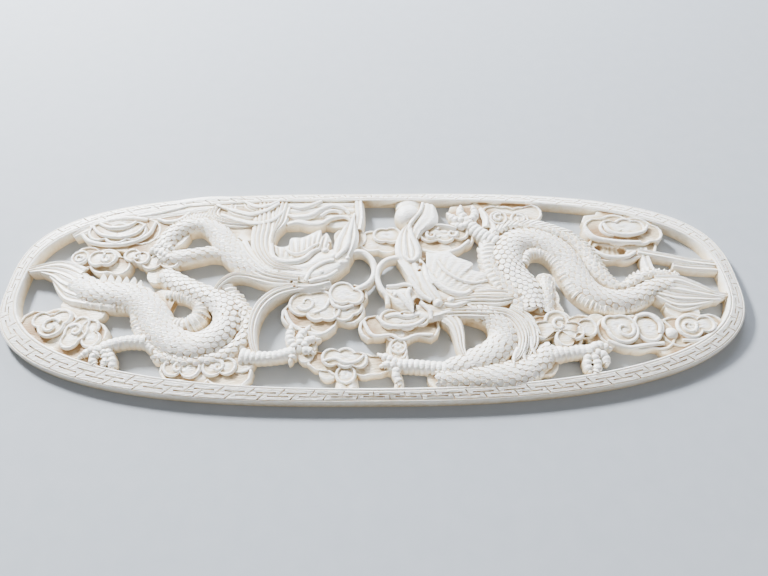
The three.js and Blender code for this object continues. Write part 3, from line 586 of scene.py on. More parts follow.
leftManeWaves = [
    [[-35, 21.6, 2.8, 0.35], [-30.6, 19.8, 3, 0.5], [-27, 18.9, 3.15, 0.55], [-23.8, 19.8, 3.1, 0.5],
     [-21, 22, 2.8, 0.3]],
    [[-33.6, 18.8, 3, 0.35], [-29.6, 17.2, 3.1, 0.5], [-25.6, 16.2, 3.25, 0.55], [-22, 17.2, 3.15, 0.5],
     [-19.8, 19.8, 2.9, 0.3]],
    [[-28.8, 22.4, 2.7, 0.3], [-25.6, 21, 2.95, 0.45], [-22.8, 21.6, 2.95, 0.4], [-21, 22.8, 2.7, 0.25]],
]


def makeLeftHead():
    # the spread fin behind the jaw, with its bright rolled rim
    sheet([[-21.2, 9.4, -21.4, 10.7, 3], [-19.6, 7, -20, 9.8, 3], [-17.9, 6.6, -18, 10, 3.1],
           [-16.6, 6.6, -17.5, 12, 3.2], [-14.9, 7, -15, 12.2, 3.2], [-13.2, 8, -13, 13.3, 3.3],
           [-12.2, 8.7, -11.3, 14.2, 3.3], [-11.6, 8.9, -10.9, 12.4, 3.3], [-10.8, 9, -10, 13.4, 3.2],
           [-9.8, 8.8, -9, 11.4, 3.1]], ribs=1.5, depth=0.13, crown=0.3)
    stroke([[-21.6, 10.6, 3.3, 0.45], [-20.9, 7.4, 3.8, 0.6], [-19, 6.1, 3.9, 0.7], [-16, 6, 3.9, 0.7],
            [-14, 6.9, 3.9, 0.65], [-12.8, 8.3, 3.8, 0.5], [-11.2, 9.2, 3.6, 0.3]])
    stroke([[-18.3, 9, 3.4, 0.3], [-16.6, 7.9, 3.6, 0.4], [-14.5, 8.2, 3.6, 0.4], [-13, 9.6, 3.6, 0.35],
            [-11.4, 10.6, 3.5, 0.25]])
    # cheek and muzzle
    sheet([[-19.6, 2.8, -19.4, 5.6, 3.4], [-16.6, 2, -16.2, 5.4, 3.5], [-13.8, 0.9, -13.6, 6.2, 3.6],
           [-11.6, 0.7, -11.4, 8.2, 3.7], [-9.6, 1, -9.4, 8.8, 3.7], [-7.8, 2.4, -7.8, 9.2, 3.6],
           [-6.4, 3.9, -6, 9, 3.5], [-5, 5.2, -4.6, 8.8, 3.3]], lines=2, depth=0.12)
    stroke([[-13.6, 1.2, 3.8, 0.5], [-12.4, 3.8, 3.95, 0.6], [-10.2, 5.6, 3.95, 0.55],
            [-8, 6.2, 3.9, 0.4]])
    stroke([[-12.9, 0.9, 3.8, 0.45], [-11.2, 1.5, 3.8, 0.55], [-9, 2.2, 3.8, 0.5],
            [-7.2, 3.6, 3.7, 0.35]])
    for x, y, radius, top in [(-10, 8.8, 0.85, 3.8), (-8.3, 7.3, 0.8, 3.85), (-6.7, 5.6, 0.75, 3.7),
                              (-10.4, 3.3, 0.8, 3.95), (-5.3, 6.7, 0.6, 3.5)]:
        dome(x, y, radius, top, 18)
    # the plume that rises from the snout
    sheet([[-8.6, 7.4, -4.6, 6.8, 3.5], [-8.3, 9.4, -3.8, 8.8, 3.6], [-8, 11.4, -3.2, 11, 3.6],
           [-7.2, 13.4, -3.1, 13, 3.5], [-6.2, 15.4, -3.5, 15, 3.4], [-5, 17.3, -3.9, 17.2, 3.2],
           [-4.3, 19, -4, 19, 2.9]], lines=3)
    stroke([[-7.8, 6.6, 3.7, 0.6], [-5.6, 9.6, 3.9, 0.7], [-5.1, 13, 3.8, 0.6], [-4.6, 16, 3.5, 0.45],
            [-4.1, 18.8, 3, 0.2]])
    whisker([[-5.4, 8, 3.2, 0.7], [-2.4, 8.4, 3.1, 0.65], [-0.2, 6.2, 3, 0.62], [0.3, 3.2, 3, 0.6],
             [-0.8, 0.6, 3, 0.6], [-3.6, -1.2, 3, 0.6]])
    # the lower jaw, and the drilled dots of eye and nostril
    strand([[-15, -0.5, 3.3, 1.2], [-11.5, -0.3, 3.4, 1.3], [-8.6, 0.6, 3.2, 1]], hairs=2)
    for x, y, bottom, radius in [(-16.5, 0.6, 3.1, 0.4), (-15.8, -0.6, 3, 0.4), (-9.2, 10, 2, 0.5)]:
        hollow(x, y, bottom, radius)


# Paws: a palm with ribbed toes, each with a claw

clawSizes = {
    "step": 0.4,
    # how far along from the toe's end, how much lower, and half the width, at three places: the root
    # lies a little inside the toe and is narrower than it
    "inside": 0.1, "rootShare": 0.7,
    "middle": 0.5, "middleDrop": 0.1, "middleHalf": 0.4,
    "tipDrop": 0.7, "tipHalf": 0.12,
}


def toe(rows, clawLength=1.5):
    leg(rows)
    s = clawSizes
    x, y, top, half = rows[-1]
    dx = x - rows[-2][0]
    dy = y - rows[-2][1]
    reach = clawLength / math.hypot(dx, dy)
    limb([
        [x - dx * s["inside"], y - dy * s["inside"], top, half * s["rootShare"]],
        [x + dx * reach * s["middle"], y + dy * reach * s["middle"], top - s["middleDrop"], s["middleHalf"]],
        [x + dx * reach, y + dy * reach, top - s["tipDrop"], s["tipHalf"]],
    ], limbSizes["thinSides"], s["step"], limbSizes["undercut"], name="claw")


def makeLeftClaws():
    leg([[-25, -15.6, 2.9, 1.9], [-21.5, -15.9, 3, 1.2], [-18, -15.7, 3, 1.1], [-14.6, -14.6, 3, 1.3]])
    dome(-13.9, -13.8, 2, 2.9, 24)
    toe([[-14.6, -14.2, 3, 0.9], [-15.8, -12.2, 3, 0.85], [-15.8, -10.2, 2.9, 0.75]])
    toe([[-13.8, -13.4, 3.1, 0.8], [-13.8, -11.6, 3, 0.8], [-12.9, -10.4, 2.9, 0.7]], 1.2)
    toe([[-13.2, -13.8, 3.1, 0.8], [-12.2, -12.4, 3, 0.75], [-11, -12.4, 2.9, 0.65]], 1.1)
    toe([[-13.2, -14.6, 3, 0.8], [-12.2, -14.6, 3, 0.75], [-11.6, -15, 2.8, 0.65]], 1.1)
    toe([[-15, -15.6, 2.9, 0.8], [-15.2, -16.4, 2.8, 0.6]], 1.6)
    groundPlate(2.2, [[-14.6, -12.6, 2.2], [-13, -14, 2.4], [-12.6, -16, 1.6]], "cloud")
    leg([[-43.4, -12.2, 3, 1.4], [-47.5, -12.4, 3, 1.1], [-51, -13.6, 3, 1.3], [-52.3, -15.2, 2.9, 1.2]])
    dome(-52.6, -14.6, 1.5, 2.9, 20)
    toe([[-51.8, -14.2, 3, 0.8], [-53.4, -14.4, 2.9, 0.75], [-54.8, -15.6, 2.7, 0.6]])
    toe([[-52.4, -15.2, 2.9, 0.8], [-52.6, -16.4, 2.8, 0.7], [-52, -17.4, 2.7, 0.6]], 1.2)
    toe([[-51, -14.4, 2.9, 0.8], [-50.2, -16, 2.8, 0.75], [-50.2, -17.6, 2.7, 0.6]], 1.2)
    toe([[-50.4, -14.4, 2.8, 0.8], [-49, -16.6, 2.7, 0.7], [-48.6, -18.2, 2.5, 0.6]], 1.2)
    toe([[-47, 9.2, 3.1, 0.8], [-44.8, 8.6, 3.2, 0.8], [-42.6, 7, 3, 0.6]])
    toe([[-46.4, 9.8, 3.1, 0.7], [-44.4, 10.4, 3.1, 0.7], [-43, 9.6, 3, 0.6]], 1.1)
    hollow(-50.9, -17.2, 1.6, 0.5)


makeLeftDragon()
for lines, stations in leftMane:
    sheet(stations, lines)
for rows in leftManeWaves:
    strand(rows, hairs=1)
makeLeftHead()
makeLeftClaws()
print("left dragon laid out")


# The dragon on the right

rightBody = [
    [[31.5, -5, 3.3, 3.2], [31.2, -1, 3.4, 3.4], [28.8, 3, 3.5, 3.5], [28, 7, 3.6, 3.6],
     [29.5, 10.8, 3.6, 3.4], [33, 12.3, 3.6, 3.1], [36.8, 11, 3.6, 3.1]],
    [[35, 12, 3.6, 3], [38, 10.2, 3.6, 3.1], [40.6, 6.8, 3.6, 3], [41.8, 2.6, 3.5, 3],
     [43.9, -1.4, 3.4, 2.9], [48, -3.4, 3.4, 2.7], [53, -2.6, 3.3, 2.5], [57, -0.5, 3.2, 2.2],
     [60.5, 0, 3, 2]],
    [[19, -5.6, 3.3, 2.2], [23.6, -7.2, 3.4, 2.6], [25.6, -11, 3.4, 3.2], [23.6, -14.4, 3.4, 3],
     [19, -16.8, 3.3, 2.7], [14.4, -18.2, 3.2, 2]],
    [[12, -20.4, 3, 1.9], [20, -19.8, 3.2, 2.6], [26.5, -19.2, 3.2, 2.9],
     [31, -17.2, 3.1, 2.6], [34, -14.5, 2.9, 2.2]],
    [[24.4, 6.5, 3.2, 1.5], [25.6, 2, 3.3, 1.6], [28, -2, 3.3, 1.7], [29.6, -6, 3.2, 1.6]],
]
rightHaunch = [[32, 15.2, 2.9, 1], [38, 14, 3, 1.2], [42, 11.8, 3.1, 1.4], [44.7, 8.5, 3.2, 1.5],
               [46, 4.4, 3.2, 1.4], [48.1, 0.8, 3.1, 1.2], [50.5, -0.6, 3, 1.1], [53, 0.7, 2.9, 1],
               [56, 2.3, 2.8, 1], [59, 2.6, 2.7, 1], [62.5, 1.8, 2.6, 0.8]]
rightBelly = [[31.6, 5.6, 2.8, 1], [32.8, 8, 2.9, 1.2], [36, 8.2, 3, 1.3], [38.5, 5.4, 3, 1.3],
              [39.7, 1.2, 2.9, 1.2], [41.3, -2.4, 2.8, 1.2], [44.8, -5, 2.8, 1.2], [49, -5.8, 2.7, 1.1],
              [53.5, -4.6, 2.6, 0.9], [57, -2.2, 2.5, 0.8]]
rightTail = [
    [[57.6, 1.2, 3, 1.3], [62, 1.2, 2.9, 1.2], [65.6, -0.4, 2.7, 1], [69, -2.4, 2.5, 0.7],
     [72, -3, 2.4, 0.6]],
    [[57, -0.4, 3, 1.3], [61.5, -0.9, 2.9, 1.3], [65.5, -2, 2.7, 1], [70.5, -3.2, 2.4, 0.6]],
    [[57, -1.8, 2.9, 1.2], [60.5, -3, 2.8, 1.2], [64.5, -3.4, 2.6, 0.9], [69.6, -3.8, 2.4, 0.5]],
    [[57, -2.6, 2.7, 1.1], [60, -4.6, 2.6, 1.1], [63.6, -4.8, 2.5, 0.9], [68, -4.2, 2.3, 0.4]],
    [[58.4, -4.6, 2.5, 0.9], [61, -6, 2.4, 0.8], [64, -5.6, 2.3, 0.5], [66.6, -4.6, 2.2, 0.2]],
]
rightMane = [
    (4, [[13.4, -5.4, 13.6, -3.4, 3.5], [17, -5, 17.4, -2.4, 3.5], [21, -5, 21.4, -1.8, 3.5],
         [25, -5, 25.4, -2, 3.4], [28.4, -3.8, 28.6, -2.2, 3.3], [31, -2.4, 31, -2, 3.2]]),
    (4, [[13.6, -7.6, 13.6, -5.2, 3.4], [17.4, -7.6, 17.4, -4.9, 3.4], [21.4, -7.8, 22, -5, 3.5],
         [25.2, -8, 26.6, -5.6, 3.4], [27, -9.6, 29.2, -7.8, 3.4], [27.8, -12.4, 30.2, -11.6, 3.3],
         [27, -15.4, 28.8, -15.8, 3.2], [25.4, -17.6, 26, -18.2, 3]]),
    (3, [[13.4, -8.2, 16.4, -6.4, 3.3], [14.8, -9.6, 17.4, -8.6, 3.3], [15.6, -11.8, 17.7, -11.4, 3.2],
         [16, -14, 17.6, -14.2, 3.1], [16.8, -16.2, 18, -16.2, 3.1], [18.4, -17.8, 18.8, -17.6, 3]]),
    (3, [[26.6, -6.4, 27.6, -4.4, 3.3], [29.2, -9, 31.4, -7.6, 3.2], [30, -12.6, 32, -12.2, 3],
         [29, -15.8, 30.4, -16, 2.9]]),
    (2, [[20, -3.2, 20.6, -1, 3.3], [23, -3, 24, -0.8, 3.3], [26.4, -2.8, 27, -1.4, 3.2],
         [29, -2.8, 29, -2.6, 3]]),
]
rightThigh = [[35.6, 1.4, 2.5, 1.3], [35.3, -1, 2.6, 1.7], [34.6, -3.6, 2.7, 2.1], [34.4, -6.2, 2.6, 1.9]]
rightNeckFin = [[24.6, 11.6, 27, 12.6, 3], [22.9, 9.6, 25.8, 10, 3.1], [22.5, 7, 25.2, 7.4, 3.2],
                [22.8, 4.6, 25, 5.2, 3.2], [23.3, 2.2, 25.4, 3, 3.2], [24.2, 0, 26.4, 1, 3.2],
                [25.3, -2, 27.6, -1, 3.1], [26.8, -3.8, 28.8, -3, 3.1]]
rightManeTips = [
    [[26, -3.4, 3.3, 0.5], [29, -3.4, 3.2, 0.4], [31.4, -4.4, 3.1, 0.12]],
    [[28.6, -5.6, 3.3, 0.5], [31, -5.8, 3.2, 0.4], [32.6, -5.4, 3.1, 0.12]],
    [[29.6, -8, 3.2, 0.5], [31.4, -9.4, 3.2, 0.4], [32.2, -11.4, 3.1, 0.12]],
    [[29, -13.4, 3.2, 0.5], [28.4, -15.8, 3.2, 0.4], [28.6, -17.4, 3.2, 0.12]],
    [[27.6, -14.4, 3.2, 0.5], [26.6, -16.2, 3.2, 0.4], [26.2, -18, 3.3, 0.12]],
    [[30.4, -12, 3.1, 0.5], [30.2, -14.4, 3.1, 0.4], [30.8, -16.2, 3.1, 0.12]],
]
rightWristHair = [
    [[24.6, 15, 3, 0.9], [24.8, 17.4, 3, 0.9], [23.8, 20.2, 2.6, 0.5]],
    [[26.4, 13.8, 3, 0.8], [26, 15.6, 3, 0.7], [25.2, 16.8, 2.8, 0.4]],
    [[28.4, 14.6, 3, 0.8], [29.4, 15.6, 2.9, 0.6], [30.6, 16, 2.8, 0.2]],
    [[12.8, 15.4, 2.6, 0.7], [15.4, 15.2, 2.7, 0.8], [18, 14.4, 2.7, 0.7]],
]


def makeRightDragon():
    for rows in rightBody:
        scaledLimb(rows)
    limb([[12, -2.5, 3.4, 2.2], [16.5, -3.6, 3.3, 2.5], [21, -5.4, 3.2, 2.3]])
    scaledLimb(rightHaunch)
    limb(rightBelly, 12)
    ribRow(rightBelly, 0.85)
    scaledLimb(rightThigh)
    for rows in rightTail:
        strand(rows)
    for rows in rightManeTips:
        stroke(rows)
    sheet(rightNeckFin, ribs=1.15, depth=0.12, crown=0.3)
    spineRow([[26.6, -3.6], [24.4, 0.4], [23.4, 4.6], [23.6, 8.8], [25.6, 12]], 1.3, 2, 3, 0.24)
    spineRow([[25.6, 13], [28.4, 14.8], [32, 15.6], [36, 15.2], [41, 13.2]], 1.3, 2.3, 3, 0.16)
    spineRow([[42.6, 12.4], [45, 9.8], [46.6, 6.4], [47.6, 2.6], [49, 0.4]], 1, 1.3, 2.9, 0.3)
    spineRow([[51.6, 0], [54, 2], [57, 3.2], [62, 2.4]], 1, 0.95, 2.6, 0.4)


def makeRightHead():
    # the spread fin, ribbed towards its torn edge, and its rolled rim
    sheet([[11, 3.6, 11.2, 8.2, 3], [11.8, 2.4, 13, 7.9, 3.1], [12.8, 1.2, 15.6, 8.4, 3.2],
           [13.8, 0.2, 17.4, 6.8, 3.3], [14.9, -0.6, 20.6, 5.2, 3.3], [16, -1.2, 20.2, 3.6, 3.2],
           [17.4, -1.7, 23.4, 2.6, 3.2], [18.6, -1.9, 23, 1.1, 3.1], [19.4, -1.8, 24.6, -0.6, 3]],
          ribs=2.3, depth=0.07, crown=0.25)
    stroke([[11.2, 3.6, 3.6, 0.4], [12.3, 1.3, 3.85, 0.6], [13.9, -0.5, 3.9, 0.65], [16, -1.8, 3.9, 0.65],
            [18.2, -2.2, 3.8, 0.6], [19.6, -1.4, 3.6, 0.45]])
    stroke([[13.2, 6.4, 3.4, 0.3], [14.8, 3.4, 3.6, 0.4], [17.6, 1.2, 3.6, 0.4], [20.6, 0.4, 3.4, 0.35],
            [23.2, 1, 3.2, 0.3]])
    stroke([[22, 0.2, 3, 0.45], [22.6, 1.4, 3, 0.5], [23.9, 2.9, 2.8, 0.2]])
    # brow and face
    sheet([[4.9, 6.6, 9, 7.4, 3.4], [6, 4.6, 9.7, 5, 3.5], [7, 2.5, 10.2, 2.8, 3.6], [7.9, 0.5, 11, 0.4, 3.6],
           [8, -1.6, 12, -2, 3.6], [8.8, -3.4, 12.6, -4, 3.5]], lines=2)
    sheet([[9.3, 4.9, 10.8, 5.2, 3.7], [9, 2.6, 11.3, 3, 3.8], [9.5, 0.2, 12, 0.6, 3.9],
           [10.4, -2, 13, -1.4, 3.9], [11.6, -3.9, 14, -3.4, 3.8], [12.4, -5, 13.8, -4.8, 3.6]], lines=2)
    dome(12.9, -4.1, 1.15, 3.95, 24)
    stroke([[7.4, 1.8, 3.8, 0.45], [8.6, -0.4, 3.9, 0.5], [9.8, -2.4, 3.9, 0.5],
            [11.6, -3.8, 3.8, 0.4]])
    # the horn: three ridges and a curl at its root
    sheet([[7.4, 16.2, 8.6, 16.2, 3], [5.8, 13.8, 8.9, 13.6, 3.2], [4.9, 11.2, 9.6, 11, 3.4],
           [4.6, 8.9, 10.2, 8.8, 3.5], [5.2, 6.9, 10, 6.6, 3.6], [6.6, 5.4, 9.4, 5.2, 3.5]], lines=4)
    stroke([[7.9, 15.4, 3.2, 0.35], [8.2, 12.4, 3.6, 0.55], [9.2, 9.6, 3.8, 0.6], [9.3, 7.2, 3.9, 0.6],
            [8, 5.9, 3.8, 0.5], [6.7, 7, 3.7, 0.4], [6.5, 9, 3.6, 0.3]])
    # upper lip with its tooth, and the open mouth
    sheet([[2.6, -0.6, 3.1, -3, 3], [4.4, -1, 4.7, -4.8, 3.2], [6, -0.4, 6.4, -5.6, 3.4],
           [7.6, -0.6, 7.9, -4.8, 3.4], [8.8, -1.2, 8.8, -3.4, 3.4]], lines=2, depth=0.12)
    stroke([[4, -1.5, 3.5, 0.5], [5.4, -2.3, 3.7, 0.6], [6.6, -4, 3.7, 0.6], [7.9, -6.5, 3.4, 0.15]])
    stroke([[7.6, -0.9, 3.8, 0.6], [7, -2.2, 3.8, 0.55], [7.7, -4.4, 3.7, 0.35],
            [8, -6.4, 3.4, 0.12]])
    sheet([[8, -7.8, 9, -3.4, 3], [10, -8.6, 11.4, -4, 3.1], [12, -8.4, 13.6, -4.4, 3.2],
           [14.4, -7.6, 15, -3.6, 3.3], [17, -6.4, 17.4, -3, 3.3]], lines=2)
    stroke([[8.6, -3.3, 3.5, 0.35], [9.8, -4.5, 3.6, 0.45], [11.2, -6, 3.6, 0.5],
            [11.4, -8, 3.4, 0.4]])
    whisker([[6.5, 6.7, 3.2, 0.6], [4.4, 6.8, 3.1, 0.62], [2.4, 5.9, 3, 0.6], [1.1, 4, 3, 0.58],
             [0.9, 1.8, 3, 0.56], [1.7, -0.8, 3, 0.55], [2.9, -2.6, 2.9, 0.55], [3, -4.6, 2.8, 0.5]])
    dome(15.5, -3.5, 0.8, 3.9, 18)
    dome(4.6, -2.2, 0.7, 3.6, 16)
    # the lip's fold, the edge of the brow and the corner of the jaw
    for rows in [
        [[2.8, -0.4, 3.1, 0.3], [4.6, -0.3, 3.4, 0.4], [6.6, 0.1, 3.6, 0.42], [8, -0.4, 3.7, 0.35]],
        [[9.4, 6.4, 3.6, 0.3], [10.6, 4.6, 3.8, 0.42], [11, 2.4, 3.9, 0.42], [12, 0.2, 3.9, 0.3]],
        [[14.2, -4.6, 3.6, 0.4], [16, -4.9, 3.7, 0.5], [18.4, -4.2, 3.6, 0.45], [20.4, -3.4, 3.4, 0.3]],
    ]:
        stroke(rows)
    for x, y, bottom, radius in [(9.8, 4.4, 2.9, 0.55), (9.5, 2.9, 3, 0.5), (8.9, -4.8, 2, 0.9),
                                 (5.8, -7.4, 2.3, 0.4)]:
        hollow(x, y, bottom, radius)


def makeRightClaws():
    leg([[15, -18.8, 2.9, 1.9], [11.5, -18.2, 3, 1.3], [8, -17.8, 3, 1.2], [4.4, -17.6, 2.9, 1.3]])
    dome(3.8, -17.8, 1.6, 2.8, 20)
    toe([[4.6, -17.4, 2.9, 0.8], [3, -16.4, 2.9, 0.75], [1.9, -16, 2.7, 0.65]], 1)
    toe([[4.4, -17.8, 2.9, 0.8], [3, -17.6, 2.8, 0.7], [2, -18, 2.6, 0.6]], 1)
    toe([[4.6, -18.4, 2.8, 0.8], [4.4, -19.8, 2.7, 0.7], [4.9, -21.2, 2.5, 0.6]], 1.4)
    leg([[33, -15.6, 3, 1.8], [38, -15, 3, 1.3], [41.4, -15, 3, 1.4]])
    dome(41.4, -15.8, 1.8, 2.9, 22)
    toe([[41, -14.8, 3, 0.9], [43, -13.8, 3, 0.8], [44.6, -14.4, 2.8, 0.6]], 1.2)
    toe([[42, -15.2, 3, 0.8], [43.6, -16, 2.9, 0.8], [43.9, -17.6, 2.7, 0.6]], 1)
    toe([[41.6, -16, 2.9, 0.9], [42, -18, 2.8, 0.85], [41.4, -19.6, 2.6, 0.7]], 1.2)
    toe([[40.6, -16, 2.9, 0.8], [40.2, -17.8, 2.8, 0.75], [40.4, -19.2, 2.6, 0.6]], 1.2)
    leg([[26.4, 11, 3.2, 1.9], [24, 12.8, 3.2, 1.7], [22, 14.6, 3.1, 1.6], [20.6, 16.4, 3, 1.6]])
    dome(20.2, 17, 2, 3, 22)
    toe([[20.6, 15.8, 3.1, 0.9], [19, 15.2, 3, 0.8], [17.9, 15.6, 2.8, 0.65]], 1)
    toe([[19.6, 17, 3.1, 0.9], [18, 17.2, 3, 0.8], [17, 18.2, 2.8, 0.65]], 1)
    toe([[20, 17.8, 3, 0.9], [19.2, 19.2, 2.9, 0.8], [19.4, 20.4, 2.7, 0.6]], 0.8)
    toe([[21.4, 17, 3.1, 0.9], [22.4, 18.6, 3, 0.8], [22.2, 20.2, 2.8, 0.6]], 0.8)
    for rows in rightWristHair:
        strand(rows, hairs=2)
    hollow(41, -18.8, 1.6, 0.45)


makeRightDragon()
for lines, stations in rightMane:
    sheet(stations, lines)
makeRightHead()
makeRightClaws()
print("right dragon laid out")


# Clouds, the low plates behind the figures, the pearl and the bars that tie all this to the border

lowClouds = [
    (2.3, [[-66.4, -8.6, 3], [-62, -9.8, 4.6], [-57, -12, 4.8], [-54, -11.4, 2.8]]),
    (2.2, [[-37.3, -18.5, 2.6], [-33, -19.8, 3], [-28, -18.8, 3.3], [-25, -19.6, 2.8]]),
    (2.2, [[-10.5, -17, 2], [-6.5, -18, 2.3], [-1.5, -18, 2.5], [1.8, -17.8, 2.2]]),
    (2.3, [[-15.2, -7, 3], [-10, -8.4, 3.1], [-4.6, -6.2, 3.1], [-3.6, -2.6, 2.7]]),
    (2.3, [[0, -10, 2.8], [5.2, -10.6, 3], [10.4, -10, 2.8]]),
    (2.4, [[-57.5, 14.6, 4], [-53.5, 14.6, 4.4], [-49.5, 14, 3.6]]),
    (2.4, [[-60.4, 7.2, 2.9], [-56.2, 6.2, 3.3], [-52.8, 5, 2.4]]),
    (2.4, [[32.6, -10.2, 2.8], [36.2, -9.2, 3], [41, -10, 2.8], [37.5, -12.6, 2.8]]),
    (2.3, [[46.6, -11, 3.4], [51, -11.4, 4], [55, -11.6, 3.6]]),
    (2.3, [[58.8, -11.2, 3.4], [62.5, -10.6, 3.6], [66, -10, 2.8]]),
    (2.1, [[49, 8.8, 3.4], [53, 9.4, 4], [57, 10, 3.6]]),
    (2.6, [[26, 18.4, 2.5], [29, 17.8, 3], [32.5, 17.4, 3.2], [35, 18.8, 2.4]]),
    (2, [[11.6, 11, 3.2], [15.5, 10.8, 3.4], [19, 12, 2.8]]),
    (2, [[-0.4, 11.2, 2.9], [3, 11, 3.2]]),
]
highClouds = [
    (3, [[-62.4, -9, 2.7], [-64.8, -7.8, 1.8], [-60.6, -7.2, 1.8]]),
    (2.9, [[-57.2, -10.4, 2.5], [-56.6, -8.6, 1.7], [-58, -12.4, 1.9]]),
    (2.8, [[-54, -12.2, 1.9], [-54.8, -9.4, 1.8]]),
    (2.7, [[-37.2, -18, 2], [-33.8, -18.4, 2]]),
    (2.7, [[-29.8, -18, 2.1], [-27, -18, 1.8]]),
    (2.8, [[-7.8, -16.2, 1.9], [-5, -16.3, 2.2], [-2.4, -16.8, 1.7]]),
    (2.8, [[-14, -4.4, 2.8], [-10.8, -4.6, 3.5], [-8.6, -6, 2.4], [-11, -6.2, 2.3]]),
    (2.65, [[-5.8, -6.4, 2.2], [-4, -5, 2.2]]),
    (3.1, [[-6.2, -1.9, 2.7], [-3.6, -2.8, 1.9]]),
    (2.9, [[3.4, -8, 2.2], [6.6, -8.3, 2.2], [9.3, -7.7, 2]]),
    (2.5, [[1.8, 12.8, 2], [4, 12.8, 2.2]]),
    (2.5, [[12, 13, 2.2], [15.4, 13, 2.4], [18.8, 13.4, 1.9]]),
    (3, [[-59, 14.2, 2.6], [-55, 13.6, 3], [-51.4, 14.2, 2.6]]),
    (2.9, [[-61.4, 7.2, 1.9]]),
    (3.1, [[-57.6, 7, 2], [-55.4, 7, 1.9]]),
    (2.8, [[-50.8, 7.8, 1.7], [-48.4, 7, 1.7]]),
    (2.5, [[-46.4, 6.4, 2.4], [-42.4, 6.4, 2.2]]),
    (3, [[35.8, -8.6, 2.4], [32.6, -10.6, 2], [39, -10.8, 2]]),
    (3, [[41.6, -10, 2], [36.8, -12.4, 1.9]]),
    (2.75, [[53.6, -9.7, 3], [53.4, -10.8, 2.6]]),
    (3.05, [[48.3, -10.4, 3.2], [46.4, -9.2, 1.9]]),
    (2.8, [[61.4, -10, 2.6], [64.8, -9.4, 1.9]]),
    (2.7, [[48.6, 14, 3.2], [52.5, 14, 4.2], [57, 13.6, 3.8], [60, 13, 2.4]]),
    (3, [[51, 14.4, 2.2], [54.6, 14.6, 2.6], [57, 14.6, 1.9]]),
    (3, [[27.4, 17.4, 2]]),
    (2.9, [[32, 17, 2.1]]),
]
grounds = [
    (2.3, [[-29.8, 14, 2.2], [-27, 13.6, 2.4]]),
    (2.2, [[-57, 13, 4.4], [-50, 13, 5.4], [-45, 14, 5.4], [-42, 18, 4]]),
    (2, [[-50, 10, 3], [-46, 11, 3]]),
    (1.9, [[-44.6, 2.6, 2.2], [-45.4, 4.6, 1.8]]),
    (2.2, [[-41, 19, 3.4], [-36, 20, 3.4], [-30, 19.5, 4.4], [-25, 19.5, 4]]),
    (2, [[-6.5, 12.4, 2], [-4, 12, 2.6]]),
    (1.9, [[18.8, 18.8, 2.4], [24, 18, 4], [30, 18, 3.8], [34, 19, 2.8]]),
    (1.9, [[12.4, 9.4, 2.6], [14.6, 8, 2.4]]),
    (2.1, [[21, -5, 2.8], [27, -5.4, 3.6], [31, -8, 4]]),
    (1.9, [[-42, -12, 3], [-39, -11.8, 3], [-42.4, -4, 3]]),
    (1.9, [[-60.6, -4.6, 1.9], [-57, -5.8, 2.2], [-54.6, -6.6, 1.6]]),
    (2.2, [[-24.6, -17, 2.6], [-26, -13, 3]]),
    (1.9, [[35.4, 0.4, 2.2], [34.6, -3.4, 3], [36, -6.6, 2]]),
    (2, [[44, -9.4, 2.2], [43.4, -12, 2.4]]),
    (2, [[60.4, -6, 2.2], [63, -6.8, 1.8]]),
    (2, [[57, -14, 2.8], [61, -13.4, 3], [65, -11.6, 2.8]]),
    (1.9, [[32.6, -18, 2.4], [30, -18.8, 2.4]]),
    (1.9, [[12.6, -20.6, 2.4]]),
    (1.9, [[-8.2, -19.4, 1.8]]),
    (1.9, [[8, 11.5, 2.6], [10, 8, 2.2]]),
    (2.2, [[-26, 7, 3], [-23, 9.5, 2.4], [-22.5, 5, 3]]),
    (2, [[25.4, 12.6, 3]]),
    (2.2, [[48, 16.2, 2.2], [52, 17.4, 3], [58, 15.6, 3]]),
    (1.9, [[-52.4, -16, 2.9], [-51.4, -18.2, 2.2]]),
]
scrolls = [
    [-62.4, -9.2, 1.9, 3.3, 0.6, 1], [-57.4, -10.2, 1.5, 3.1, 2.6, -1], [-55.6, 7, 1.2, 3.3, 2, 1],
    [-61.4, 7.2, 1.2, 3.1, 0, -1], [-13.2, -4.2, 1.9, 2.95, 3.6, 1],
    [12.6, 12.9, 1.2, 2.7, 2.4, 1], [17, 13.2, 1.2, 2.7, 0.4, -1], [36.2, -9.4, 1.5, 3.2, 1, 1],
    [48.6, -10.4, 2, 3.25, 0.6, -1], [61.2, -9.8, 1.7, 2.95, 0.4, -1],
    [27.4, 17.4, 1.2, 3.2, 1, 1], [32, 17, 1.3, 3.1, 2, -1], [-49.4, 7.4, 1, 3, 1, 1],
    [-28.8, -18, 1.3, 2.9, 2, -1], [-36, -18.2, 1.3, 2.9, 0.5, 1],
]
